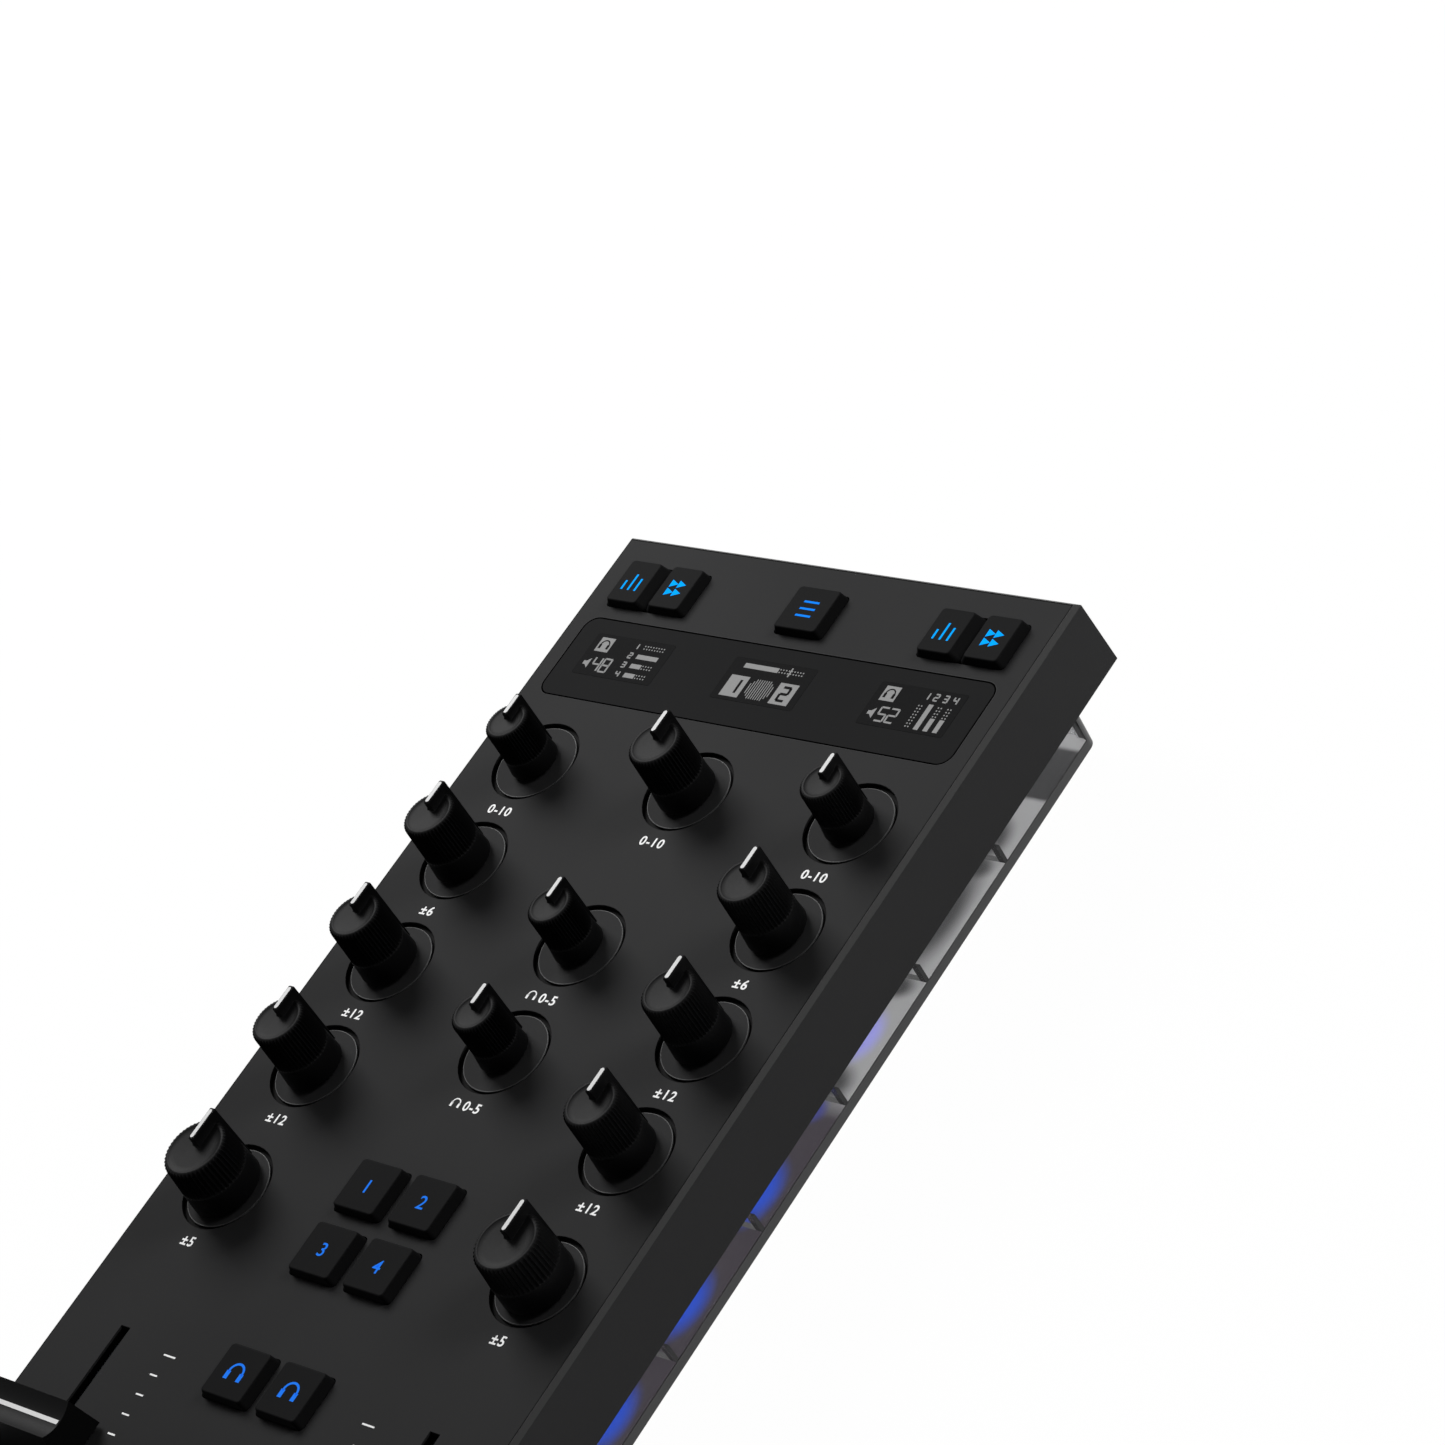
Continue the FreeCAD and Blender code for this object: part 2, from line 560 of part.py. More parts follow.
def circle(sketch, across, up, radius):
    """One circle whose place and radius follow the sheet."""
    size = float(sheet.evalExpression(formula(radius)))
    spot = FreeCAD.Vector(*[float(sheet.evalExpression(formula(text))) for text in (across, up)])
    sketch.addGeometry(Part.Circle(spot, FreeCAD.Vector(0, 0, 1), size))
    for kind, axis, text, value in (("DistanceX", -2, across, spot.x), ("DistanceY", -1, up, spot.y)):
        if text == "0":
            sketch.addConstraint(Sketcher.Constraint("PointOnObject", 0, 3, axis))
        else:
            index = sketch.addConstraint(Sketcher.Constraint(kind, -1, 1, 0, 3, value))
            sketch.setExpression("Constraints[%d]" % index, formula(text))
    index = sketch.addConstraint(Sketcher.Constraint("Radius", 0, size))
    sketch.setExpression("Constraints[%d]" % index, formula(radius))


def knob_master(size):
    """A knob with a smooth skirt, a fluted grip, a dished top and a pointer fin that runs down one side."""
    named = {key: "%s_%s" % (size, key) for key in
             ("base", "waist", "waist_height", "rim", "top", "fin_top", "fin_start", "fin_reach")}
    body = doc.addObject("PartDesign::Body", "knob_master_" + size)
    side = flat_sketch(body, "turned_outline_" + size, 4)
    outline(side, (
        ("0", "knob_gap"),
        (named["base"], "knob_gap"),
        (named["waist"], named["waist_height"]),
        (named["rim"], named["top"] + " - rim_round"),
        (named["rim"] + " - 0.3 * rim_round", named["top"] + " - 0.3 * rim_round"),
        (named["rim"] + " - rim_round", named["top"]),
        (named["rim"] + " - rim_round - 0.3", named["top"] + " - 0.12"),
        ("0", named["top"] + " - 0.25"),
    ))
    turned = body.newObject("PartDesign::Revolution", "turned_" + size)
    turned.Profile = side
    turned.ReferenceAxis = (side, ["V_Axis"])
    turned.Angle = 360
    doc.recompute()
    groove = flat_sketch(body, "flute_outline_" + size, 3)
    circle(groove, "0", "-(%s + %s) / 2" % (named["rim"], named["waist"]), "flute_radius")
    groove.setExpression("AttachmentOffset.Base.z", formula(named["waist_height"]))
    flute = body.newObject("PartDesign::Pocket", "flute_" + size)
    flute.Profile = groove
    flute.Reversed = True
    bind(flute, Length="%s - rim_round - %s" % (named["top"], named["waist_height"]))
    doc.recompute()
    flutes = body.newObject("PartDesign::PolarPattern", "flutes_" + size)
    flutes.Originals = [flute]
    flutes.Axis = (groove, ["N_Axis"])
    flutes.Angle = 360
    bind(flutes, Occurrences="flute_count")
    body.Tip = flutes
    doc.recompute()
    blade = flat_sketch(body, "fin_outline_" + size, 5)
    outline(blade, (
        (named["fin_start"], named["top"] + " - 1"),
        (named["fin_start"] + " + 0.25 * fin_blend", named["top"] + " + 0.35 * (%(fin_top)s - %(top)s)" % named),
        (named["fin_start"] + " + 0.6 * fin_blend", named["top"] + " + 0.75 * (%(fin_top)s - %(top)s)" % named),
        (named["fin_start"] + " + fin_blend", named["fin_top"]),
        (named["fin_reach"] + " - 0.3", named["fin_top"]),
        (named["fin_reach"], named["fin_top"] + " - 0.3"),
        (named["fin_reach"], "knob_gap + 0.2"),
        (named["fin_start"] + " + 3", "knob_gap + 0.2"),
        (named["fin_start"] + " + 3", named["top"] + " - 1"),
    ))
    fin = body.newObject("PartDesign::Pad", "fin_" + size)
    fin.Profile = blade
    fin.Midplane = True
    bind(fin, Length="fin_thickness")
    doc.recompute()
    hole = flat_sketch(body, "bore_outline_" + size, 3)
    circle(hole, "0", "0", "shaft_radius + knob_fit")
    bore = body.newObject("PartDesign::Pocket", "bore_" + size)
    bore.Profile = hole
    bore.Reversed = True
    bind(bore, Length=BORE_TOP % size)
    body.Tip = bore
    doc.recompute()
    return body


# Knobs: three sizes, thirteen places
knob_masters = {size: knob_master(size) for size in ("small", "medium", "large")}
knobs = [place("knob_" + name, knob_masters[size], x, y, PANEL_Z) for name, size, x, y in KNOBS]


# Buttons: a sloped cap, a plunger through the panel, a flange under it and a stem above the switch
def button_master(kind, left_slope, right_slope):
    half = kind + "_width / 2"
    foot = (half + " + " + left_slope, half + " + " + right_slope, "button_length / 2 + button_end_slope")
    skirt = foot[:2] + (foot[2] + " + flange_width",)
    cap = tapered("cap_block_" + kind, *foot, "button_height", half, half, "button_length / 2", "0")
    corner_cap = rounded("corner_cap_" + kind, cap, "button_corner", upright)
    soft_cap = rounded("soft_cap_" + kind, corner_cap, "button_round", at_crown)
    plunger = tapered("plunger_" + kind, *foot, "panel_thickness + 0.15", *foot, "-panel_thickness - 0.15")
    soft_plunger = rounded("soft_plunger_" + kind, plunger, "button_corner", upright)
    flange = tapered("flange_" + kind, *skirt, "flange_thickness", *skirt,
                     "-panel_thickness - 0.05 - flange_thickness")
    stem = rod("stem_" + kind, "stem_radius",
               "board_drop - switch_height - button_travel - 0.15 - panel_thickness",
               z="-board_drop + switch_height + button_travel + 0.15")
    return join("button_master_" + kind, [soft_cap, soft_plunger, flange, stem])


button_masters = {
    "pair": button_master("pair", "button_slope", "pair_inner_slope"),
    "menu": button_master("menu", "button_slope", "button_slope"),
    "pad": button_master("pad", "button_slope", "button_slope"),
}
buttons = [place("button_" + name, button_masters[master], x, y, PANEL_Z, turn)
           for name, master, x, y, turn in BUTTONS]

# Switches on the board, one under each button
switch = block("switch", "switch_side", "switch_side", "switch_height")
switch_bodies = gather("switch_bodies", [place("switch_" + name, switch, x, y, BOARD_Z)
                                         for name, master, x, y, turn in BUTTONS])

# Fader bodies on the board, each with a long slot for its lever
fader_case = cut("fader_case", block("fader_case_block", "fader_body_width",
                                     "fader_travel + lever_length + 2 * slot_margin + 8", "fader_body_height"),
                 [block("fader_case_slot", "slot_width", "fader_travel + lever_length + 2 * slot_margin",
                        "fader_body_height", z="1.2")])
fader_bodies = gather("fader_bodies", [place("case_" + name, fader_case, x, y, BOARD_Z, turn)
                                       for name, x, y, turn in FADERS])

# Fader levers: thin blades that slide in the fader bodies
LEVER_FOOT = "(board_drop - 1.5)"
lever = block("lever_master", "lever_thickness", "lever_length", "lever_rise + " + LEVER_FOOT, z="-" + LEVER_FOOT)
levers = [place(name + "_lever", lever, x, y, PANEL_Z, turn) for name, x, y, turn in FADERS]

# Fader caps: a leaning block with a finger dip, pushed on the lever
cap_block = tapered("fader_cap_block", "cap_width / 2", "cap_width / 2", "cap_length / 2", "cap_height",
                    "cap_width / 2 - 0.5 * cap_lean", "cap_width / 2 - 0.5 * cap_lean", "cap_length / 2 - cap_lean",
                    "cap_gap")
cap_dip = rod("cap_dip", "cap_dip_radius", "cap_width + 4", "-cap_width / 2 - 2", "0",
              "cap_gap + cap_height + cap_dip_radius - cap_dip_depth")
cap_dip.Placement.Rotation = FreeCAD.Rotation(FreeCAD.Vector(0, 1, 0), 90)
cap_socket = block("cap_socket", "lever_thickness + 2 * knob_fit", "lever_length + 2 * knob_fit",
                   "lever_rise + 0.1 - cap_gap + 1", z="cap_gap - 1")
cap_low = block("cap_low", "cap_width - 3", "cap_length - 3", "1.6", z="cap_gap - 0.6")
fader_cap = cut("fader_cap_master", cap_block, [join("cap_tools", [cap_socket, cap_low, cap_dip])])
caps = [place(name + "_cap", fader_cap, x, y, PANEL_Z, turn) for name, x, y, turn in FADERS]

# Rear socket plate: fills the notch in the rear wall of the shell
PLATE_Y = "(shell_length / 2 - %s - plate_thickness / 2)" % SHELL_LEAN
PLATE_FRONT = "(shell_length / 2 - %s - plate_thickness)" % SHELL_LEAN
PLATE_REAR = "(shell_length / 2 - %s)" % SHELL_LEAN
JACK_Z = "(%s - jack_height / 2)" % UNDER_BOARD_Z
USB_Z = "(%s - usb_height / 2)" % UNDER_BOARD_Z
plate_block = block("plate_block", "notch_width - 2 * plate_gap", "plate_thickness", "notch_height - plate_gap",
                    "0", PLATE_Y, SHELL_Z)
plate_holes = [rod_along_y("plate_hole_%d" % n, "jack_bush_radius + 0.1", "plate_thickness + 2", x,
                           PLATE_FRONT + " - 1", JACK_Z) for n, x in enumerate(("-jack_x", "jack_x"), start=1)]
plate_window = block("plate_window", "usb_width + 0.3", "plate_thickness + 2", "usb_height + 0.3", "0", PLATE_Y,
                     USB_Z + " - usb_height / 2 - 0.15")
rear_plate = cut("rear_plate", plate_block, plate_holes + [plate_window])

# Sound sockets: two small round jacks under the board, for the room and for headphones
jack_block = block("jack_block", "jack_width", "jack_depth", "jack_height", "0", "-jack_depth / 2 - 0.1",
                   "-jack_height / 2")
jack_bush = rod_along_y("jack_bush", "jack_bush_radius", "plate_thickness + 0.2", "0", "-0.2", "0")
jack_bore = rod_along_y("jack_bore_tool", "jack_bore", "jack_bore_depth + 1", "0",
                        "plate_thickness - jack_bore_depth", "0")
jack = cut("jack_master", join("jack_whole", [jack_block, jack_bush]), [jack_bore])
main_out_jack = place("main_out_jack", jack, "-jack_x", PLATE_FRONT, JACK_Z)
headphone_jack = place("headphone_jack", jack, "jack_x", PLATE_FRONT, JACK_Z)

# Data and power socket: a flat metal shell with a tongue inside
usb_block = block("usb_block", "usb_width", "usb_depth", "usb_height", "0", PLATE_REAR + " - usb_depth / 2",
                  USB_Z + " - usb_height / 2")
usb_slot = block("usb_slot", "usb_slot_width", "usb_slot_depth + 1", "usb_slot_height", "0",
                 PLATE_REAR + " - usb_slot_depth / 2 + 0.5", USB_Z + " - usb_slot_height / 2")
usb_shell = cut("usb_shell", rounded("usb_soft", usb_block, "button_round", lambda edge: edge.Length > 7.9),
                [usb_slot])
usb_tongue = block("usb_tongue", "usb_tongue_width", "usb_tongue_depth + 0.2", "usb_tongue_height", "0",
                   PLATE_REAR + " - usb_slot_depth + usb_tongue_depth / 2 - 0.1",
                   USB_Z + " - usb_tongue_height / 2")
usb_socket = join("usb_socket", [usb_shell, usb_tongue])

# Check every object, then export each sub-part under its own name
doc.recompute()
for thing in doc.Objects:
    if "Invalid" in thing.State or "Error" in thing.State:
        raise RuntimeError("object %s did not compute: %s" % (thing.Label, thing.State))
SUB_PARTS = [light_base, light_strips, rubber_feet, top_shell, chassis_plate, case_screws, main_board, top_panel,
             display_window, displays, pot_bodies, switch_bodies, fader_bodies, rear_plate, main_out_jack,
             headphone_jack, usb_socket] + shafts + knobs + buttons + levers + caps
for part in SUB_PARTS:
    if part.Shape.isNull() or not part.Shape.isValid() or not part.Shape.Solids:
        raise RuntimeError("sub-part %s has no valid solid" % part.Label)
    part.Shape.exportStep("parts/%s.step" % part.Label)
    print(part.Label, len(part.Shape.Solids), round(part.Shape.Volume, 1))
print("sub-parts", len(SUB_PARTS))
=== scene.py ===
import math

import bmesh
import bpy
import numpy as np
from mathutils import Matrix, Vector


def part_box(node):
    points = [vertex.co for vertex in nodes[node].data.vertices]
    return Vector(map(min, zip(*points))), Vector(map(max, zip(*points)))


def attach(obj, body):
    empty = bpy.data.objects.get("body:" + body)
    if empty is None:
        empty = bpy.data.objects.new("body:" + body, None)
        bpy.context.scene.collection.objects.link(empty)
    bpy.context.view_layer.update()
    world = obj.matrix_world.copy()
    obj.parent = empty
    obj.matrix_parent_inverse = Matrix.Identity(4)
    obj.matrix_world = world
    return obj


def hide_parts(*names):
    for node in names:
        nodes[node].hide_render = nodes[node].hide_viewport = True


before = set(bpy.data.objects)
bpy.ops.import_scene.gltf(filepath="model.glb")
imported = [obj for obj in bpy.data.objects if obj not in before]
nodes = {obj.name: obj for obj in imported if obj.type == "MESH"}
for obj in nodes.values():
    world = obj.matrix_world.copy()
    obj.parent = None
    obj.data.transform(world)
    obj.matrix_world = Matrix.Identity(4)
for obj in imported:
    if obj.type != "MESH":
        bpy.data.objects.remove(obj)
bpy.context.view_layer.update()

# Camera
# A long lens, high at the mixer's right front corner and rolled, so that the mixer runs from the
# lower left of the picture up to the right. Place (in metres), turn and lens fit the photograph.
PICTURE_PIXELS = 1445
FOCAL_PIXELS = 4634.46
SENSOR_WIDTH = 36.0
CAMERA_PLACE = (0.60990, -0.27698, 0.59026)
CAMERA_TURN = (47.1196, 26.3699, 35.7289)
camera_data = bpy.data.cameras.new("camera")
camera_data.sensor_width = SENSOR_WIDTH
camera_data.lens = FOCAL_PIXELS / PICTURE_PIXELS * SENSOR_WIDTH
camera_data.clip_start = 0.01
camera = bpy.data.objects.new("camera", camera_data)
camera.location = CAMERA_PLACE
camera.rotation_euler = [math.radians(angle) for angle in CAMERA_TURN]
bpy.context.scene.collection.objects.link(camera)
bpy.context.scene.camera = camera
bpy.context.scene.view_settings.view_transform = "Standard"

# Studio
# A white sweep of paper under and behind the mixer, one wide soft lamp at its far left and
# weak ones at the front and right. Seen directly or in gloss, the paper and the room are white.
PAPER_HALF_WIDTH = 3500.0
PAPER_RUN = ((-3000.0, 0.0), (2200.0, 0.0), (2700.0, 120.0), (3000.0, 500.0), (3000.0, 3000.0))
PAPER_SPECK = 40.0
PAPER_GREYS = ((0.86, 0.86, 0.86), (0.90, 0.90, 0.90))
PAPER_WHITE_SHARE = 0.985
WHITE = (1, 1, 1, 1)
ROOM_LIGHT = 0.03
LAMP_AIM = (0, 0.05, 0.03)
MIX_SHARE, MIX_UNDER, MIX_OVER, MIX_RESULT = 0, 6, 7, 2


def new_piece(name, points, faces):
    """Mesh object at the origin, with its place in its points, which are given in millimetres."""
    mesh = bpy.data.meshes.new(name)
    mesh.from_pydata((np.asarray(points) / 1000).tolist(), [], faces)
    piece = bpy.data.objects.new(name, mesh)
    bpy.context.scene.collection.objects.link(piece)
    return piece


class Recipe:
    """Recipe of a finish or of the room's light: an emptied tree of nodes, and short ways to fill it."""

    def __init__(self, tree):
        self.tree = tree
        tree.nodes.clear()

    def add(self, kind, **values):
        """One node; a key that starts with p_ is a property of it, and any other is one of its inputs."""
        node = self.tree.nodes.new("ShaderNode" + kind)
        for key, value in values.items():
            if key.startswith("p_"):
                setattr(node, key[2:], value)
            else:
                node.inputs[key.replace("_", " ")].default_value = value
        return node

    def link(self, output, node, socket):
        """Join an output to an input of a node, by its name or number."""
        self.tree.links.new(output, node.inputs[socket])

    def place(self):
        """The place of a point on the object, in metres."""
        return self.add("TexCoord").outputs["Object"]

    def noise(self, scale, detail=2.0):
        """Even noise on the object's own coordinates."""
        node = self.add("TexNoise", Scale=scale, Detail=detail)
        self.link(self.place(), node, "Vector")
        return node.outputs["Fac"]

    def tones(self, amount, dark, light, low=0.0, high=1.0):
        """Colour that goes from dark to light as the amount goes from low to high."""
        ramp = self.add("ValToRGB")
        for end, position, colour in ((0, low, dark), (1, high, light)):
            ramp.color_ramp.elements[end].position = position
            ramp.color_ramp.elements[end].color = (*colour, 1)
        self.link(amount, ramp, "Fac")
        return ramp.outputs["Color"]

    def mixed(self, share, under, over):
        """The colour under with a share of the colour over; a tuple is one even colour, and anything else is
        the output of a node."""
        mix = self.add("Mix", p_data_type="RGBA")
        self.link(share, mix, MIX_SHARE)
        for colour, socket in ((under, MIX_UNDER), (over, MIX_OVER)):
            if isinstance(colour, tuple):
                mix.inputs[socket].default_value = colour
            else:
                self.link(colour, mix, socket)
        return mix.outputs[MIX_RESULT]

    def seen_directly(self):
        """1 for a ray from the eye, from gloss or through clear plastic, and 0 for light on its way."""
        path = self.add("LightPath")
        share = path.outputs["Is Camera Ray"]
        for ray in ("Is Transmission Ray", "Is Glossy Ray"):
            either = self.add("Math", p_operation="MAXIMUM")
            self.link(share, either, 0)
            self.link(path.outputs[ray], either, 1)
            share = either.outputs[0]
        return share

    def blend(self, share, first, second):
        """One shader or light that turns into another as the share goes from 0 to 1."""
        mix = self.add("MixShader")
        self.link(share, mix, 0)
        self.link(first.outputs[0], mix, 1)
        self.link(second.outputs[0], mix, 2)
        return mix

    def surface(self, shader, output="OutputMaterial"):
        """Make the shader what is seen."""
        self.link(shader.outputs[0], self.add(output), "Surface")


def new_material(name):
    """A material and its empty recipe."""
    material = bpy.data.materials.new(name)
    material.use_nodes = True
    return material, Recipe(material.node_tree)


paper_steps = len(PAPER_RUN)
paper_points = [(side, *step) for side in (-PAPER_HALF_WIDTH, PAPER_HALF_WIDTH) for step in PAPER_RUN]
paper_faces = [(n, n + paper_steps, n + paper_steps + 1, n + 1) for n in range(paper_steps - 1)]
paper = new_piece("paper_sweep", paper_points, paper_faces)
material, recipe = new_material("studio_paper")
paper_matt = recipe.add("BsdfDiffuse")
recipe.link(recipe.tones(recipe.noise(PAPER_SPECK), *PAPER_GREYS), paper_matt, "Color")
paper_share = recipe.add("Math", p_operation="MULTIPLY")
recipe.link(recipe.seen_directly(), paper_share, 0)
paper_share.inputs[1].default_value = PAPER_WHITE_SHARE
paper_white = recipe.add("Emission", Color=WHITE, Strength=1.0)
recipe.surface(recipe.blend(paper_share.outputs[0], paper_matt, paper_white))
paper.data.materials.append(material)

world = bpy.data.worlds.new("studio_room")
world.use_nodes = True
recipe = Recipe(world.node_tree)
room_dim = recipe.add("Background", Color=WHITE, Strength=ROOM_LIGHT)
room_white = recipe.add("Background", Color=WHITE, Strength=1.0)
recipe.surface(recipe.blend(recipe.seen_directly(), room_dim, room_white), "OutputWorld")
bpy.context.scene.world = world

for name, place, size, power in (("far_left_lamp", (-0.75, 0.55, 0.75), 0.55, 16.0),
                                 ("front_lamp", (0.9, -0.9, 0.9), 0.9, 0.35),
                                 ("right_lamp", (0.58, 0.55, 0.56), 0.36, 4.4)):
    lamp_data = bpy.data.lights.new(name, "AREA")
    lamp_data.size = size
    lamp_data.energy = power
    lamp = bpy.data.objects.new(name, lamp_data)
    lamp.location = place
    lamp.rotation_euler = (Vector(LAMP_AIM) - Vector(place)).to_track_quat("-Z", "Y").to_euler()
    bpy.context.scene.collection.objects.link(lamp)

# Shell and rear socket plate
# The shell is moulded black plastic with a fine spark-eroded grain; its rim is a narrow
# bevel, painted a lighter grey above RIM_LOW as a painted highlight. The socket plate at the rear is the same
# plastic.
RIM_LOW = 34.1
RIM_PAINTED_HIGHLIGHT = 0.040


def grained_plastic(name, dark, light, roughness, gloss, grain_scale, grain_depth, edge=0.12, turn=None):
    """Moulded plastic: its tone drifts between two greys, fine noise dents it, and its edges look rounded to
    the given radius. A given band (height, tone) is painted light: the plastic has that tone beyond the
    height, above it where the tone is the lighter one, as a painted highlight, and below it where it is the
    darker one, as painted shade. Lengths are in millimetres."""
    drift_scale, drift_detail, drift_low, drift_high = 18.0, 3.0, 0.3, 0.7
    rough_spread = 0.06
    dent_strength = 0.35
    material, recipe = new_material(name)
    colour = recipe.tones(recipe.noise(drift_scale, drift_detail), dark, light, drift_low, drift_high)
    # Painted light: a flat tone beyond a height, lighter as a painted highlight, darker as painted shade.
    if turn:
        height, tone = turn
        split = recipe.add("SeparateXYZ")
        recipe.link(recipe.place(), split, "Vector")
        beyond = recipe.add("Math", p_operation="GREATER_THAN" if tone > light[0] else "LESS_THAN")
        recipe.link(split.outputs["Z"], beyond, 0)
        beyond.inputs[1].default_value = height / 1000
        colour = recipe.mixed(beyond.outputs[0], colour, (tone, tone, tone, 1))
    grain = recipe.noise(grain_scale)
    rough = recipe.add("MapRange", To_Min=roughness - rough_spread, To_Max=roughness + rough_spread)
    recipe.link(grain, rough, "Value")
    bevel = recipe.add("Bevel", Radius=edge / 1000)
    bump = recipe.add("Bump", Strength=dent_strength, Distance=grain_depth / 1000)
    recipe.link(grain, bump, "Height")
    recipe.link(bevel.outputs["Normal"], bump, "Normal")
    shader = recipe.add("BsdfPrincipled", Specular_IOR_Level=gloss)
    recipe.link(colour, shader, "Base Color")
    recipe.link(rough.outputs["Result"], shader, "Roughness")
    recipe.link(bump.outputs["Normal"], shader, "Normal")
    recipe.surface(shader)
    return material


def dress(node, material):
    """Give a carried-over solid its finish."""
    nodes[node].data.materials.clear()
    nodes[node].data.materials.append(material)


# Painted highlight: above RIM_LOW the shell is a lighter grey, along its rim bevel.
shell_plastic = grained_plastic("shell_plastic", (0.0135, 0.0135, 0.0140), (0.0160, 0.0160, 0.0165),
                                roughness=0.55, gloss=0.11, grain_scale=2600.0, grain_depth=0.04,
                                turn=(RIM_LOW, RIM_PAINTED_HIGHLIGHT))
dress("top_shell", shell_plastic)
dress("rear_plate", shell_plastic)

# Sockets
# Two round sound sockets in black plastic and a flat data socket folded from plated steel,
# all soldered under the board and reaching through the rear plate.


def plated_metal(name, dark, light, roughness):
    """Drawn and plated metal: fine upright streaks in tone and gloss."""
    streak_scale = (900.0, 900.0, 60.0)
    smoother, rougher = 0.05, 0.1
    material, recipe = new_material(name)
    stretch = recipe.add("Mapping", Scale=streak_scale)
    recipe.link(recipe.place(), stretch, "Vector")
    streak = recipe.add("TexNoise", Scale=1.0, Detail=2.0)
    recipe.link(stretch.outputs["Vector"], streak, "Vector")
    rough = recipe.add("MapRange", To_Min=roughness - smoother, To_Max=roughness + rougher)
    recipe.link(streak.outputs["Fac"], rough, "Value")
    shader = recipe.add("BsdfPrincipled", Metallic=1.0)
    recipe.link(recipe.tones(streak.outputs["Fac"], dark, light), shader, "Base Color")
    recipe.link(rough.outputs["Result"], shader, "Roughness")
    recipe.surface(shader)
    return material


socket_plastic = grained_plastic("socket_plastic", (0.008, 0.008, 0.008), (0.012, 0.012, 0.012),
                                 roughness=0.4, gloss=0.4, grain_scale=900.0, grain_depth=0.02)
dress("main_out_jack", socket_plastic)
dress("headphone_jack", socket_plastic)
socket_plating = plated_metal("socket_plating", (0.45, 0.45, 0.46), (0.62, 0.62, 0.63), roughness=0.28)
dress("usb_socket", socket_plating)

# Chassis, its screws, the board and the controls soldered on it
# A coated steel plate, held by blackened screws, closes the shell from below. The green board with its
# rotary controls, switches and faders is hidden above it, and two narrow boards carry the base's lamps.
chassis_coat = grained_plastic("chassis_coat", (0.010, 0.010, 0.010), (0.016, 0.016, 0.016),
                               roughness=0.6, gloss=0.3, grain_scale=1400.0, grain_depth=0.03)
dress("chassis_plate", chassis_coat)
screw_blacking = plated_metal("screw_blacking", (0.03, 0.03, 0.032), (0.06, 0.06, 0.062), roughness=0.4)
dress("case_screws", screw_blacking)
board_mask = grained_plastic("board_mask", (0.010, 0.060, 0.030), (0.016, 0.085, 0.045),
                             roughness=0.35, gloss=0.5, grain_scale=500.0, grain_depth=0.02)
dress("main_board", board_mask)
dress("light_strips", board_mask)
control_case = grained_plastic("control_case", (0.030, 0.034, 0.045), (0.045, 0.050, 0.065),
                               roughness=0.5, gloss=0.4, grain_scale=700.0, grain_depth=0.02)
for node in ("pot_bodies", "fader_bodies", "switch_bodies"):
    dress(node, control_case)
turned_metal = plated_metal("turned_metal", (0.50, 0.50, 0.50), (0.68, 0.68, 0.68), roughness=0.3)
for node in nodes:
    if node.startswith("shaft_") or node.endswith("_lever"):
        dress(node, turned_metal)

# Rubber feet
# Four moulded black discs of rubber, stuck under the base near its corners. They carry the mixer and
# keep it from sliding.
foot_rubber = grained_plastic("foot_rubber", (0.012, 0.012, 0.012), (0.020, 0.020, 0.020),
                              roughness=0.8, gloss=0.2, grain_scale=1200.0, grain_depth=0.06)
dress("rubber_feet", foot_rubber)

# Top panel
# A thin sheet with a soft matt black coat, let into the shell. Each knob stands on a slightly sunk
# disc with a fine groove round it, painted near black deeper than GROOVE_DROP as painted shade. Numbers,
# signs and scales are screen printed in white.
PANEL_TOP = 35.0
GROOVE_DROP, GROOVE_PAINTED_SHADE = 0.5, 0.0005
# Painted shade: deeper than GROOVE_DROP under the panel's top, in the knob grooves, the coat is near black.
panel_coat = grained_plastic("panel_coat", (0.0172, 0.0172, 0.0176), (0.0212, 0.0212, 0.0216),
                             roughness=0.52, gloss=0.015, grain_scale=3200.0, grain_depth=0.03, edge=0.10,
                             turn=(PANEL_TOP - GROOVE_DROP, GROOVE_PAINTED_SHADE))
dress("top_panel", panel_coat)
KNOB_COLUMN, KNOB_PITCH = 42.34, 26.34
TOP_ROW, CUE_ROW, FILTER_ROW = 86.58, 47.27, -22.2
HIGH_ROW, MID_ROW, LOW_ROW = [TOP_ROW - step * KNOB_PITCH for step in (1, 2, 3)]
KNOB_PLACES = {
    "gain_a": (-KNOB_COLUMN, TOP_ROW, "small"), "gain_b": (KNOB_COLUMN, TOP_ROW, "small"),
    "main": (0.0, TOP_ROW, "medium"),
    "high_a": (-KNOB_COLUMN, HIGH_ROW, "medium"), "high_b": (KNOB_COLUMN, HIGH_ROW, "medium"),
    "mid_a": (-KNOB_COLUMN, MID_ROW, "medium"), "mid_b": (KNOB_COLUMN, MID_ROW, "medium"),
    "low_a": (-KNOB_COLUMN, LOW_ROW, "medium"), "low_b": (KNOB_COLUMN, LOW_ROW, "medium"),
    "cue_mix": (0.0, CUE_ROW, "small"), "cue_volume": (0.0, CUE_ROW - KNOB_PITCH, "small"),
    "filter_a": (-KNOB_COLUMN, FILTER_ROW, "large"), "filter_b": (KNOB_COLUMN, FILTER_ROW, "large"),
}
LABELS = {"gain": "0-10", "main": "0-10", "high": "±6", "mid": "±12", "low": "±12",
          "cue_mix": "0-5", "cue_volume": "0-5", "filter": "±5"}
LABEL_HEIGHT, LABEL_DROP = 2.1, 13.1
SIGN_WIDTH, SIGN_LEFT, SIGN_RISE, SIGN_NUMBER = 2.2, 2.9, 0.1, 1.5
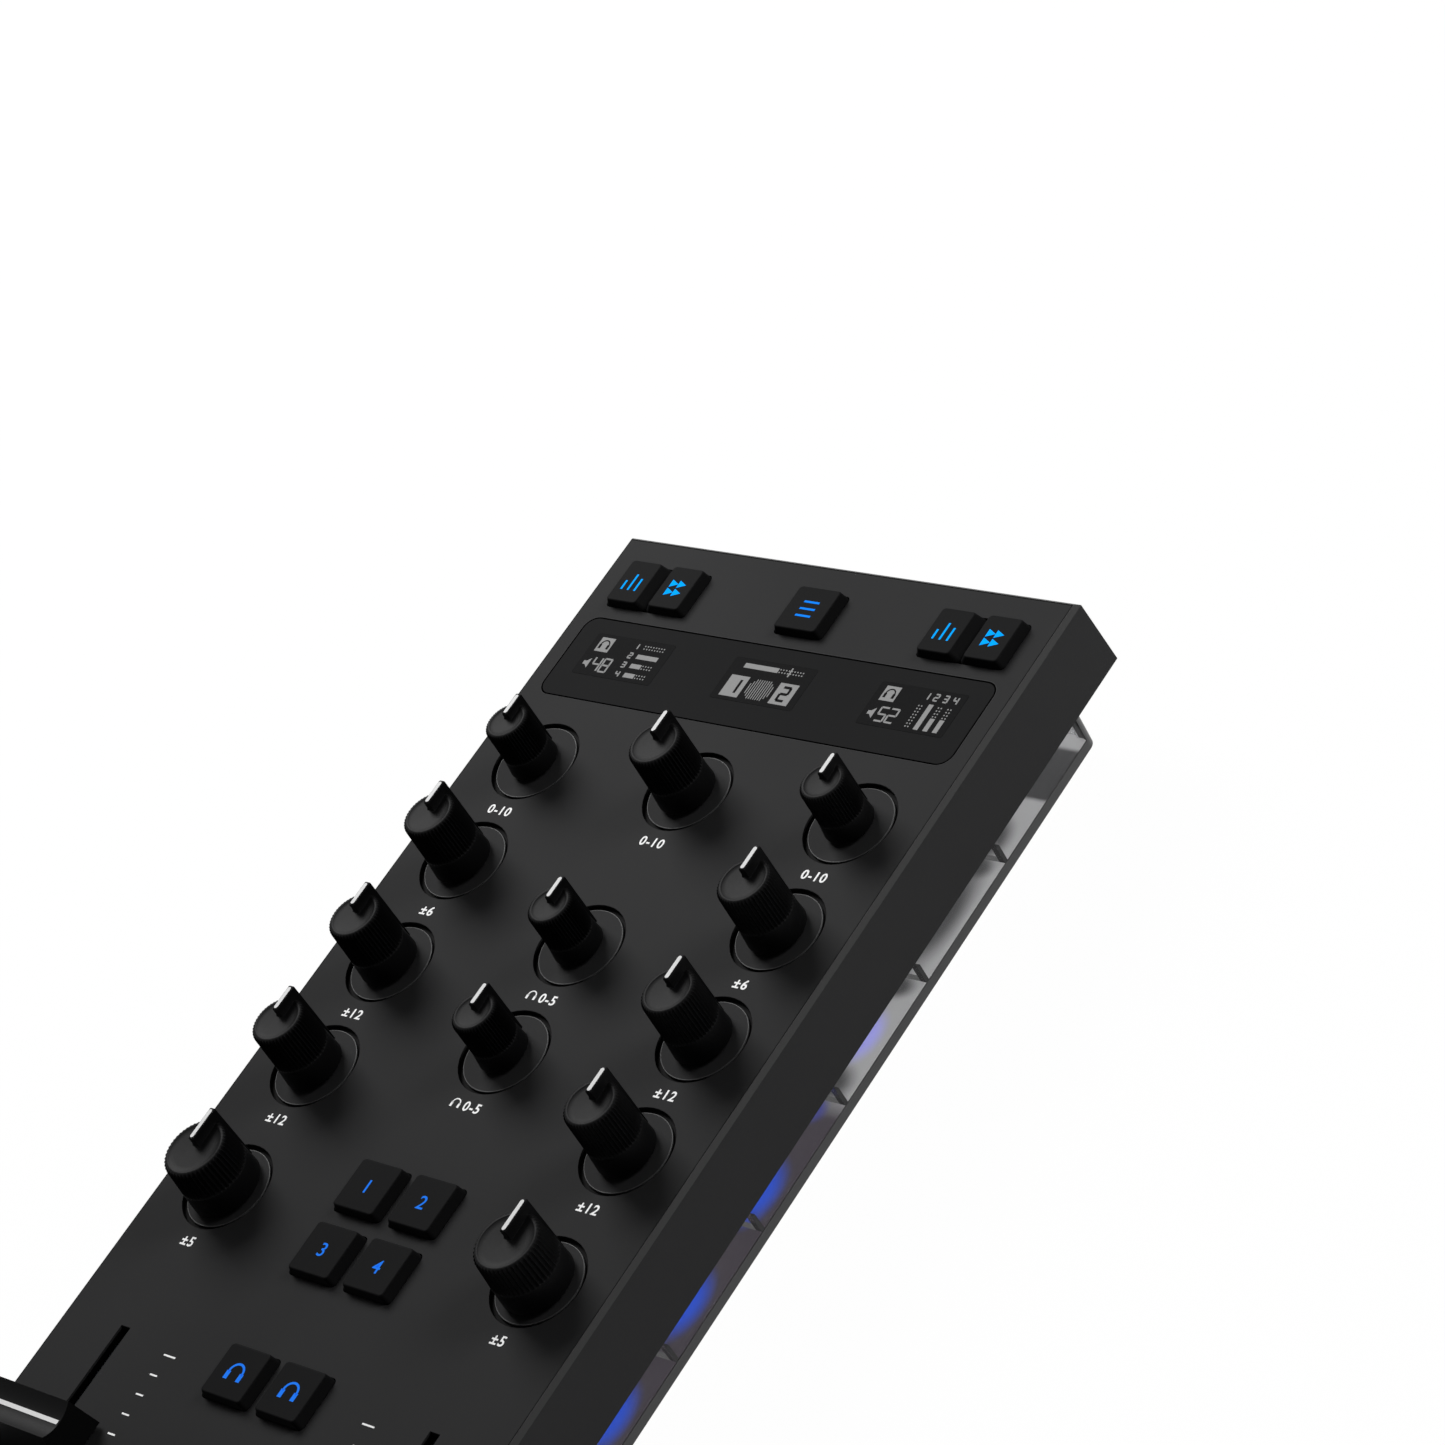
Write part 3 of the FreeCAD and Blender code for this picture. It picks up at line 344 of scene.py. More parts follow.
INK_LOW, INK_HIGH = PANEL_TOP - 0.01, PANEL_TOP + 0.03
FADER_ROW, CROSSFADER_ROW = -81.0, -128.0
FADER_SCALE_GAP, CROSSFADER_SCALE_GAP = 13.5, 13.2
MARK_PITCH, MARK_WIDTH, LONG_MARK, SHORT_MARK = 4.5, 0.35, 3.2, 2.0


def wrapped_faces(rows, columns):
    """Faces of a grid of points that closes on itself along each row; points are numbered row after row."""
    column = np.arange(columns)
    after = np.roll(column, -1)
    band = np.column_stack([column, after, columns + after, columns + column])
    return np.concatenate([band + row * columns for row in range(rows - 1)])


def at_height(outline, height):
    """An outline in x and y, laid flat at a height."""
    return np.column_stack([outline, np.full(len(outline), height)])


def stacks(name, towers):
    """Closed solids: the loops of each tower have equal point counts, and are joined upwards and closed at
    both ends."""
    points = []
    faces = []
    start = 0
    for tower in towers:
        count = len(tower[0])
        bottom = np.arange(count) + start
        top = bottom + (len(tower) - 1) * count
        faces += (wrapped_faces(len(tower), count) + start).tolist()
        faces += [bottom[::-1].tolist(), top.tolist()]
        points += tower
        start += len(tower) * count
    return new_piece(name, np.concatenate(points), faces)


def plates(name, outlines, low, high):
    """Flat plates: each closed outline in x and y is carried up from low to high."""
    return stacks(name, [[at_height(outline, low), at_height(outline, high)] for outline in outlines])


def bar(x, y, width, height):
    """Corners of an upright bar centred on x and y."""
    w, h = width / 2, height / 2
    return np.array([(x - w, y - h), (x + w, y - h), (x + w, y + h), (x - w, y + h)])


def listening_sign(x, y, width):
    """Outlines of a pair of headphones: a half-round band of the given width between two ear cups."""
    band_outside, band_inside = 0.5 * width, 0.38 * width
    cup_x, cup_y, cup_width, cup_height = 0.43 * width, -0.22 * width, 0.25 * width, 0.44 * width
    angle = np.linspace(math.radians(-10), math.radians(190), 25)
    arc = np.column_stack([np.cos(angle), np.sin(angle)])
    band = np.concatenate([band_outside * arc, band_inside * arc[::-1]])
    cups = [bar(side * cup_x, cup_y, cup_width, cup_height) for side in (-1, 1)]
    return [outline + (x, y) for outline in [band] + cups]


def numerals(name, body, cap_height, low, high, spots, bold=0.06):
    """Numerals: the built-in typeface is thickened, made solid and set down at each (text, x, y)."""
    cap_share, letter_space, curve_steps = 0.69, 1.14, 4
    merge_distance = 1e-7
    solid = bmesh.new()
    for text, x, y in spots:
        curve = bpy.data.curves.new(name, "FONT")
        curve.body = text
        curve.align_x = "CENTER"
        curve.size = cap_height / cap_share / 1000
        curve.space_character = letter_space
        curve.offset = bold / 1000
        curve.resolution_u = curve_steps
        curve.extrude = (high - low) / 2 / 1000
        source = bpy.data.objects.new(name, curve)
        mesh = bpy.data.meshes.new_from_object(source)
        mesh.transform(Matrix.Translation(Vector((x, y - cap_height / 2, (high + low) / 2)) / 1000))
        solid.from_mesh(mesh)
        bpy.data.meshes.remove(mesh)
        bpy.data.objects.remove(source)
        bpy.data.curves.remove(curve)
    bmesh.ops.remove_doubles(solid, verts=solid.verts, dist=merge_distance)
    joined = bpy.data.meshes.new(name)
    solid.to_mesh(joined)
    solid.free()
    piece = bpy.data.objects.new(name, joined)
    bpy.context.scene.collection.objects.link(piece)
    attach(piece, body)
    return piece


def ink_and_painted_light(name, dark, light, glow=0.0):
    """Screen-printed ink, and flat tones of painted light and shade: a touch uneven in tone; glow is for ink
    that light shines through, and for painted glow.
    """
    uneven_scale = 2500.0
    material, recipe = new_material(name)
    tone = recipe.tones(recipe.noise(uneven_scale), dark, light)
    shader = recipe.add("BsdfPrincipled", Roughness=0.5, Specular_IOR_Level=0.0)
    recipe.link(tone, shader, "Base Color")
    if glow:
        recipe.link(tone, shader, "Emission Color")
        shader.inputs["Emission Strength"].default_value = glow
    recipe.surface(shader)
    return material


white_ink = ink_and_painted_light("white_ink", (0.84, 0.84, 0.84), (0.93, 0.93, 0.93))
label_spots = []
scale_marks = []
for name, (x, y, size) in KNOB_PLACES.items():
    control = name.removesuffix("_a").removesuffix("_b")
    shift = 0.0
    if control.startswith("cue"):
        shift = SIGN_NUMBER
        scale_marks += listening_sign(x - SIGN_LEFT, y - LABEL_DROP + SIGN_RISE, SIGN_WIDTH)
    label_spots.append((LABELS[control], x + shift, y - LABEL_DROP))
knob_numbers = numerals("knob_numbers", "mixer", LABEL_HEIGHT, INK_LOW, INK_HIGH, label_spots)
knob_numbers.data.materials.append(white_ink)

scale_steps = [(step * MARK_PITCH, SHORT_MARK if step % 5 else LONG_MARK) for step in range(-5, 6)]
for side in (-1, 1):
    for offset, length in scale_steps:
        mark_x = side * (KNOB_COLUMN - FADER_SCALE_GAP - length / 2)
        scale_marks.append(bar(mark_x, FADER_ROW + offset, length, MARK_WIDTH))
for offset, length in scale_steps:
    mark_y = CROSSFADER_ROW + CROSSFADER_SCALE_GAP + length / 2
    scale_marks.append(bar(offset, mark_y, MARK_WIDTH, length))
fader_scales = plates("printed_scales", scale_marks, INK_LOW, INK_HIGH)
fader_scales.data.materials.append(white_ink)
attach(fader_scales, "mixer")

# Disc edges
# Round each knob the panel is sunk, and a groove parts it from the disc in the middle. The
# edge of each disc is broken by a small rounded chamfer, coloured a lighter grey than the panel as a painted
# highlight.
DISC_RADIUS = 9.15
DISC_EDGE = ((0.0, -0.75), (0.0, -0.52), (-0.05, -0.45), (-0.13, -0.42), (-0.22, -0.43), (-0.22, -0.75))
RING_STEPS = 96
# Painted highlight: the chamfer rings are a lighter grey than the panel coat.
disc_edge_painted_highlight = grained_plastic("disc_edge", (0.040, 0.040, 0.0405), (0.048, 0.048, 0.0485),
                             roughness=0.40, gloss=0.10, grain_scale=3200.0, grain_depth=0.01)


def ring_skin(name, loops):
    """Closed ring: loops of equal point counts are joined in turn, and the last to the first."""
    count = len(loops[0])
    faces = wrapped_faces(len(loops) + 1, count) % (len(loops) * count)
    return new_piece(name, np.concatenate(loops), faces.tolist())


ring_turn = np.linspace(0, 2 * math.pi, RING_STEPS, endpoint=False)
unit_ring = np.column_stack([np.cos(ring_turn), np.sin(ring_turn)])
for name, (x, y, size) in KNOB_PLACES.items():
    disc_loops = []
    for outwards, upwards in DISC_EDGE:
        disc_loops.append(at_height((DISC_RADIUS + outwards) * unit_ring + (x, y), PANEL_TOP + upwards))
    disc_edge = ring_skin("disc_edge_" + name, disc_loops)
    disc_edge.data.materials.append(disc_edge_painted_highlight)
    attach(disc_edge, "mixer")

# Display window
# A smooth dark sheet with rounded corners, let into the panel; round it a black ring over the seam is painted
# shade, and a thin grey ring just outside it is a painted highlight. Three small displays sit under it,
# behind dark glass.
WINDOW_CORNER, WINDOW_CORNER_STEPS = 3.0, 10
SEAM_INSIDE, SEAM_LAP, LIP_LAP = -0.08, 0.26, 0.44
SEAM_RISE, LIP_RISE, SEAM_DEPTH = 0.012, 0.008, -0.3
window_sheet = grained_plastic("window_sheet", (0.0100, 0.0100, 0.0103), (0.0118, 0.0118, 0.0121),
                               roughness=0.50, gloss=0.005, grain_scale=4000.0, grain_depth=0.01)
dress("display_window", window_sheet)
dress("displays", window_sheet)


def rounded_plate(x, y, width, height, radius, steps=6):
    """Outline of a rectangle whose corners are quarter circles."""
    quarter_turn = np.linspace(0, math.pi / 2, steps)
    arcs = []
    for quarter, (sx, sy) in enumerate(((1, 1), (-1, 1), (-1, -1), (1, -1))):
        angle = quarter_turn + quarter * math.pi / 2
        arcs.append(np.column_stack([x + sx * (width / 2 - radius) + radius * np.cos(angle),
                                     y + sy * (height / 2 - radius) + radius * np.sin(angle)]))
    return np.concatenate(arcs)


# Painted shade: a black ring without gloss over the seam. Painted highlight: a lighter grey ring just outside
# it.
seam_painted_shade = ink_and_painted_light("seam_painted_shade", (0.0004, 0.0004, 0.0004), (0.0007, 0.0007, 0.0007))
lip_painted_highlight = ink_and_painted_light("lip_painted_highlight", (0.040, 0.040, 0.0405), (0.050, 0.050, 0.0505))
window_low, window_high = [np.array(corner[:2]) * 1000 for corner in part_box("display_window")]
window_middle, window_span = (window_low + window_high) / 2, window_high - window_low
for name, outside, inside, rise, painted_tone in (("window_seam", SEAM_LAP, SEAM_INSIDE, SEAM_RISE, seam_painted_shade),
                                         ("window_lip", LIP_LAP, SEAM_LAP, LIP_RISE, lip_painted_highlight)):
    seam_loops = []
    for lap, height in ((outside, SEAM_DEPTH), (outside, rise), (inside, rise), (inside, SEAM_DEPTH)):
        outline = rounded_plate(*window_middle, *(window_span + 2 * lap), WINDOW_CORNER + lap,
                                WINDOW_CORNER_STEPS)
        seam_loops.append(at_height(outline, PANEL_TOP + height))
    seam = ring_skin(name, seam_loops)
    seam.data.materials.append(painted_tone)
    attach(seam, "mixer")

# Displays
# Dark glass fields under the window. Each lights up with plain numbers, level bars and rows of dots; the
# outer ones also show a headphone badge and a loudspeaker, and the middle one two numbered tiles. What
# is on a display is placed from its middle.
DISPLAY_X, DISPLAY_Y = (-38.7, 0.0, 38.7), 115.0
FIELD, FIELD_CORNER = (22.0, 10.9), 0.5
FIELD_LOW, FIELD_HIGH = PANEL_TOP - 0.2, PANEL_TOP + 0.02
PIXEL_HIGH, SHADE_HIGH = PANEL_TOP + 0.05, PANEL_TOP + 0.08
display_glass = grained_plastic("display_glass", (0.0046, 0.0046, 0.0048), (0.0056, 0.0056, 0.0059),
                                roughness=0.40, gloss=0.004, grain_scale=2000.0, grain_depth=0.005)
field_outlines = [rounded_plate(x, DISPLAY_Y, *FIELD, FIELD_CORNER) for x in DISPLAY_X]
display_fields = plates("display_fields", field_outlines, FIELD_LOW, FIELD_HIGH)
display_fields.data.materials.append(display_glass)
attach(display_fields, "mixer")

SEGMENTS = {"0": "abcdef", "1": "bc", "2": "abged", "3": "abgcd", "4": "fgbc",
            "5": "afgcd", "6": "afgedc", "7": "abc", "8": "abcdefg", "9": "abcdfg"}
DIGIT_GAP = 1.6
DOT, DOT_PITCH, DOT_START, DOT_ROWS = 0.3, 0.75, 0.45, (-0.36, 0.36)


def segment_number(text, x, y, width, height, stroke):
    """Number made of straight strokes, as on a small display: x and y are its lower left corner."""
    found = []
    for index, digit in enumerate(text):
        left = x + index * (width + DIGIT_GAP * stroke)
        middle, right = left + width / 2, left + width
        lower, upper = y + 0.25 * height, y + 0.75 * height
        strokes = {"a": (middle, y + height, width, stroke), "b": (right, upper, stroke, height / 2),
                   "c": (right, lower, stroke, height / 2), "d": (middle, y, width, stroke),
                   "e": (left, lower, stroke, height / 2), "f": (left, upper, stroke, height / 2),
                   "g": (middle, y + height / 2, width, stroke)}
        found += [bar(*strokes[key]) for key in SEGMENTS[digit]]
    return found


def dotted_bar(x, y, length, width, filled, upright=False):
    """Level bar from x and y: solid up to the filled share of its length, then two rows of dots."""
    solid = filled * length
    dot_steps = np.arange(solid + DOT_START, length, DOT_PITCH)
    run = [(step, row, DOT, DOT) for step in dot_steps for row in DOT_ROWS]
    if filled:
        run.append((solid / 2, 0.0, solid, width))
    if upright:
        return [bar(x + across, y + along, wide, long) for along, across, long, wide in run]
    return [bar(x + along, y + across, long, wide) for along, across, long, wide in run]


def speaker_sign(x, y):
    """Outline of a small loudspeaker: a square back and a cone that widens to the right, up to x."""
    back, neck, mouth_half, back_half = x - 1.6, x - 0.9, 1.3, 0.45
    return np.array([(x, y - mouth_half), (x, y + mouth_half), (neck, y + back_half), (back, y + back_half),
                     (back, y - back_half), (neck, y - back_half)])


BADGE, BADGE_SIGN, BADGE_X, BADGE_Y = 3.7, 2.5, -7.3, 2.7
SPEAKER_X, SPEAKER_Y = -8.1, -2.4
VOLUME_DIGIT, VOLUME_X, VOLUME_Y = (1.9, 3.4, 0.42), -7.0, -4.1
LEVELS, LEVEL_WIDTH = (0.0, 1.0, 0.5, 0.5), 1.15
LINE_PITCH, LINE_LENGTH, LINE_X, LINE_Y = 2.5, 5.8, 2.9, 3.65
LINE_DIGIT, LINE_DIGIT_X, LINE_DIGIT_Y = (0.9, 1.3, 0.32), 0.6, 3.0
COLUMN_PITCH, COLUMN_LENGTH, COLUMN_X, COLUMN_Y = 2.4, 6.4, 1.4, -4.6
COLUMN_DIGIT, COLUMN_DIGIT_X, COLUMN_DIGIT_Y = (0.95, 1.6, 0.34), 1.0, 2.8
MAIN_BAR, MAIN_LEVEL, MAIN_X, MAIN_Y = (15.6, 1.2), 0.58, -7.6, 3.6
MAIN_TICK, MAIN_TICK_X = (0.35, 2.3), 4.6
TILE, TILE_X, TILE_Y = (4.9, 5.4), 6.6, -1.8
TILE_DIGIT, TILE_DIGIT_Y = (1.9, 3.4, 0.62), -3.5
HATCH_REACH, HATCH_PITCH, HATCH_WIDTH = 3.0, 0.6, 0.20
HATCH_HALF, HATCH_POINT, HATCH_SLACK = 2.5, 4.3, 0.1
left_display, middle_display, right_display = DISPLAY_X
lit = []
shade = []
for centre, number in ((left_display, "48"), (right_display, "52")):
    lit.append(bar(centre + BADGE_X, DISPLAY_Y + BADGE_Y, BADGE, BADGE))
    shade += listening_sign(centre + BADGE_X, DISPLAY_Y + BADGE_Y, BADGE_SIGN)
    lit.append(speaker_sign(centre + SPEAKER_X, DISPLAY_Y + SPEAKER_Y))
    lit += segment_number(number, centre + VOLUME_X, DISPLAY_Y + VOLUME_Y, *VOLUME_DIGIT)
for row, level in enumerate(LEVELS):
    digit = str(row + 1)
    line_y = DISPLAY_Y - row * LINE_PITCH
    lit += segment_number(digit, left_display + LINE_DIGIT_X, line_y + LINE_DIGIT_Y, *LINE_DIGIT)
    lit += dotted_bar(left_display + LINE_X, line_y + LINE_Y, LINE_LENGTH, LEVEL_WIDTH, level)
    column_x = right_display + row * COLUMN_PITCH
    lit += segment_number(digit, column_x + COLUMN_DIGIT_X, DISPLAY_Y + COLUMN_DIGIT_Y, *COLUMN_DIGIT)
    lit += dotted_bar(column_x + COLUMN_X, DISPLAY_Y + COLUMN_Y, COLUMN_LENGTH, LEVEL_WIDTH, level,
                      upright=True)
lit += dotted_bar(middle_display + MAIN_X, DISPLAY_Y + MAIN_Y, *MAIN_BAR, MAIN_LEVEL)
lit.append(bar(middle_display + MAIN_TICK_X, DISPLAY_Y + MAIN_Y, *MAIN_TICK))
for side, number in ((-1, "1"), (1, "2")):
    tile_x = middle_display + side * TILE_X
    lit.append(bar(tile_x, DISPLAY_Y + TILE_Y, *TILE))
    shade += segment_number(number, tile_x - TILE_DIGIT[0] / 2, DISPLAY_Y + TILE_DIGIT_Y, *TILE_DIGIT)
for step in np.arange(-HATCH_REACH, HATCH_REACH + HATCH_SLACK, HATCH_PITCH):
    hatch_height = 2 * min(HATCH_HALF, HATCH_POINT - abs(step))
    lit.append(bar(middle_display + step, DISPLAY_Y + TILE_Y, HATCH_WIDTH, hatch_height))
display_shades = plates("display_shades", shade, PANEL_TOP, SHADE_HIGH)
display_shades.data.materials.append(display_glass)
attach(display_shades, "mixer")
display_pixels = plates("display_pixels", lit, PANEL_TOP, PIXEL_HIGH)
display_light = ink_and_painted_light("display_light", (0.140, 0.140, 0.140), (0.165, 0.165, 0.165), glow=0.9)
display_pixels.data.materials.append(display_light)
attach(display_pixels, "mixer")

# Buttons
# Moulded black caps with sloping sides and softly rounded edges, guided by the openings in the panel.
# Each has a mark cut through its black coat, which a blue lamp below lights up.
BUTTON_TOP = PANEL_TOP + 2.0
MARK_LOW, MARK_HIGH = BUTTON_TOP - 0.02, BUTTON_TOP + 0.03
REAR_ROW = 133.3
VIEW_COLUMNS = {"a": -48.1, "b": 36.2}
DECK_COLUMNS = {"a": -36.2, "b": 48.1}
CENTRE_COLUMNS = {"a": -7.45, "b": 7.45}
EFFECT_ROWS, LISTEN_ROW = (-14.75, -29.65), -58.0
LEVEL_MARKS, LEVEL_MARK_WIDTH = ((-1.95, -1.2, 2.4), (-0.1, -0.25, 4.3), (1.75, -0.75, 3.3)), 0.48
ARROW, ARROW_X, ARROW_Y = (2.1, 2.0), (-2.05, 0.05), (-1.25, 1.0)
MENU_LINE, MENU_X, MENU_Y = (4.0, 0.5), 0.1, (-1.9, -0.1, 1.7)
NUMBER_HEIGHT, NUMBER_BOLD, LISTEN_WIDTH = 2.9, 0.02, 4.0
button_plastic = grained_plastic("button_plastic", (0.0058, 0.0058, 0.0060), (0.0078, 0.0078, 0.0081),
                                 roughness=0.5, gloss=0.008, grain_scale=3000.0, grain_depth=0.02,
                                 edge=0.15)
for node in nodes:
    if node.startswith("button_"):
        dress(node, button_plastic)
sky_light = ink_and_painted_light("sky_blue_light", (0.001, 0.195, 0.58), (0.002, 0.235, 0.64), glow=0.95)
menu_light = ink_and_painted_light("menu_blue_light", (0.004, 0.115, 0.50), (0.006, 0.140, 0.55), glow=0.95)
deep_light = ink_and_painted_light("deep_blue_light", (0.009, 0.090, 0.44), (0.012, 0.115, 0.49), glow=0.95)


def lit_mark(name, button, outlines, material):
    """Blue mark of a button, a hair above its cap."""
    piece = plates(name, outlines, MARK_LOW, MARK_HIGH)
    piece.data.materials.append(material)
    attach(piece, button)


def arrow(x, y, width, height):
    """Triangle that points to the right; x and y are the middle of its left side."""
    return np.array([(x, y - height / 2), (x + width, y), (x, y + height / 2)])


for side, x in VIEW_COLUMNS.items():
    bars = [bar(x + dx, REAR_ROW + dy, LEVEL_MARK_WIDTH, height) for dx, dy, height in LEVEL_MARKS]
    lit_mark("bars_mark_" + side, "button_view_" + side, bars, sky_light)
for side, x in DECK_COLUMNS.items():
    arrows = [arrow(x + dx, REAR_ROW + dy, *ARROW) for dx in ARROW_X for dy in ARROW_Y]
    lit_mark("arrows_mark_" + side, "button_deck_" + side, arrows, sky_light)
menu_lines = [bar(MENU_X, REAR_ROW + dy, *MENU_LINE) for dy in MENU_Y]
lit_mark("lines_mark", "button_menu", menu_lines, menu_light)
effect_places = [(x, y) for y in EFFECT_ROWS for x in CENTRE_COLUMNS.values()]
for number, (x, y) in zip("1234", effect_places):
    mark = numerals("number_mark_" + number, "button_effect_" + number, NUMBER_HEIGHT, MARK_LOW, MARK_HIGH,
                    [(number, x, y)], NUMBER_BOLD)
    mark.data.materials.append(deep_light)
for side, x in CENTRE_COLUMNS.items():
    headphones = listening_sign(x, LISTEN_ROW, LISTEN_WIDTH)
    lit_mark("listen_mark_" + side, "button_cue_" + side, headphones, deep_light)

# Knobs
# Matt black moulded knobs, pressed on their shafts: a smooth skirt, a finely fluted grip, a rounded
# rim round a shallow dish, and a pointer fin that stands in the dish and runs down the rear side. The
# fin's top edge carries a white line.
KNOB_SIZES = {
    "small": {"base": 5.35, "waist": 4.95, "waist_z": 4.2, "rim": 4.88, "top": 12.5,
              "fin_top": 14.0, "start": 0.5, "reach": 6.0},
    "medium": {"base": 6.3, "waist": 5.95, "waist_z": 5.5, "rim": 5.75, "top": 14.6,
               "fin_top": 16.7, "start": 0.9, "reach": 6.85},
    "large": {"base": 7.6, "waist": 7.35, "waist_z": 5.5, "rim": 6.9, "top": 12.4,
              "fin_top": 14.55, "start": 0.6, "reach": 8.1},
}
KNOB_GAP = 0.35
FLUTES, FLUTE_DEPTH, FLUTE_START, FLUTE_STEPS = 48, 0.42, 0.025, 8
DISH_DEPTH, RIM_WIDTH, RIM_DROP = 0.22, 1.32, 0.7
FIN_HALF, FIN_ROUND, FIN_SWELL = 0.725, 0.22, 0.30
POINTER_HALF, POINTER_DEPTH, POINTER_INNER, POINTER_OUTER = 0.43, 0.12, 0.68, 0.88
LINE_END_STEPS, SHARP_EDGE = 9, 42
knob_plastic = grained_plastic("knob_plastic", (0.0038, 0.0038, 0.0040), (0.0053, 0.0053, 0.0055),
                               roughness=0.42, gloss=0.026, grain_scale=3000.0, grain_depth=0.02)
pointer_white = ink_and_painted_light("pointer_white", (0.68, 0.68, 0.68), (0.75, 0.75, 0.75))


def smooth_step(value):
    """0 below 0, 1 above 1, and an eased curve between."""
    value = np.clip(value, 0, 1)
    return value * value * (3 - 2 * value)


def turned_grip(k):
    """Surface of revolution with flutes: r = R(z) - d w(z) |cos(n a / 2)|, where w is 0 on the skirt, 1 along
    the grip, fades over the rim and is 0 in the dish. Its rows run from the middle of the underside to the
    middle of the dish."""
    skirt_r = np.array([0.3 * k["base"], k["base"] - 0.25, k["base"] - 0.07, k["base"], k["waist"] + 0.03])
    skirt_z = np.array([KNOB_GAP, KNOB_GAP, KNOB_GAP + 0.07, KNOB_GAP + 0.25, k["waist_z"] - 0.06])
    share = np.array([0.0, 0.012, 0.03, 0.3, 0.6, 0.9, 0.96, 0.985, 1.0])
    grip_r = k["waist"] + share * (k["rim"] - k["waist"])
    grip_z = k["waist_z"] + share * (k["top"] - RIM_DROP - k["waist_z"])
    rim_r = k["rim"] - np.array([0.03, 0.14, 0.36, 0.66, 0.92, 1.10, 1.22])
    rim_z = k["top"] - np.array([0.58, 0.36, 0.19, 0.06, 0.0, 0.01, 0.05])
    dish_r = np.array([1.0, 0.8, 0.5, 0.25, 0.08]) * (k["rim"] - RIM_WIDTH)
    dish_z = k["top"] - np.array([0.09, 0.14, 0.19, 0.21, DISH_DEPTH])
    radius = np.concatenate([skirt_r, grip_r, rim_r, dish_r])
    height = np.concatenate([skirt_z, grip_z, rim_z, dish_z])
    grip_weight = smooth_step(share / FLUTE_START)
    rim_weight = [1.0, 0.9, 0.35, 0.0, 0.0, 0.0, 0.0]
    weight = np.concatenate([np.zeros(len(skirt_r)), grip_weight, rim_weight, np.zeros(len(dish_r))])
    angle = np.linspace(0, 2 * math.pi, FLUTES * FLUTE_STEPS, endpoint=False)
    valley = np.abs(np.cos(FLUTES * angle / 2))
    spread = radius[:, None] - FLUTE_DEPTH * weight[:, None] * valley[None, :]
    rows = np.stack([spread * np.cos(angle), spread * np.sin(angle),
                     np.broadcast_to(height[:, None], spread.shape)], 2)
    points = np.concatenate([rows.reshape(-1, 3), [[0, 0, KNOB_GAP], [0, 0, k["top"] - DISH_DEPTH]]])
    count = len(angle)
    column = np.arange(count)
    after = np.roll(column, -1)
    foot, crown = len(points) - 2, len(points) - 1
    last = (len(radius) - 1) * count
    faces = wrapped_faces(len(radius), count).tolist()
    faces += np.column_stack([after, column, np.full(count, foot)]).tolist()
    faces += np.column_stack([last + column, last + after, np.full(count, crown)]).tolist()
    return points, faces


def pointer_fin(k):
    """Ridge carried along a path: its crest rises out of the dish, runs outwards, turns down over the rim
    and follows the side; each cross-section is ruled from the crest to a line inside the knob, its top
    edges are rounded, and it swells where it meets the dish."""
    crest_drop = 0.06
    foot_sink, foot_rise, foot_round = 0.3, 1.0, 0.25
    inner_round, outer_round = 0.3, 0.35
    run_from, run_to, side_from, side_to = 0.8, 1.0, 1.0, 0.2
    core_start, core_inset, core_sink = 0.5, 1.6, 1.0
    round_share, swell_height, swell_fade = 0.06, 1.3, 1.2
    turns, runs = 7, 6
    crest = k["fin_top"] - crest_drop
    bend = np.linspace(0, math.pi / 2, turns)
    foot_y = k["start"] - foot_round + foot_round * np.sin(bend)
    foot_z = k["top"] - foot_sink + foot_rise * (1 - np.cos(bend))
    inner_y = k["start"] + inner_round * (1 - np.cos(bend))
    inner_z = crest - inner_round + inner_round * np.sin(bend)
    run_y = np.linspace(k["start"] + run_from, k["reach"] - run_to, runs)
    outer_y = k["reach"] - outer_round + outer_round * np.sin(bend)
    outer_z = crest - outer_round + outer_round * np.cos(bend)
    side_z = np.linspace(crest - side_from, KNOB_GAP + side_to, turns)
    path_y = np.concatenate([foot_y, inner_y, run_y, outer_y, np.full(turns, k["reach"])])
    path_z = np.concatenate([foot_z, inner_z, np.full(runs, crest), outer_z, side_z])
    pivot_y, pivot_z = k["rim"] - core_inset, k["top"] - core_sink
    core_y = np.concatenate([np.full(2 * turns, k["start"] + core_start), np.minimum(run_y, pivot_y),
                             np.full(2 * turns, pivot_y)])
    core_z = np.concatenate([np.full(3 * turns + runs, pivot_z), np.minimum(side_z, pivot_z)])
    inward = np.array([1.0, 0.85, 0.72, 0.6, 0.48, 0.36, 0.24, 0.12, 0.05, 0.015, 0.0])
    side = np.concatenate([-np.ones(len(inward)), np.ones(len(inward))])
    inward = np.concatenate([inward, inward[::-1]])
    across_y = path_y[:, None] + inward[None, :] * (core_y - path_y)[:, None]
    across_z = path_z[:, None] + inward[None, :] * (core_z - path_z)[:, None]
    edge = FIN_ROUND * np.clip(1 - inward / round_share, 0, 1) ** 2
    swell = FIN_SWELL * np.clip(1 - (across_z - (k["top"] - foot_sink)) / swell_height, 0, 1) ** 2
    swell = swell * np.clip((k["rim"] - foot_sink - across_y) / swell_fade, 0, 1)
    rows = np.stack([side[None, :] * (FIN_HALF - edge[None, :] + swell), across_y, across_z], 2)
    count = rows.shape[1]
    column = np.arange(count)
    faces = wrapped_faces(len(rows), count).tolist()
    faces += [column[::-1].tolist(), ((len(rows) - 1) * count + column).tolist()]
    return rows.reshape(-1, 3), faces


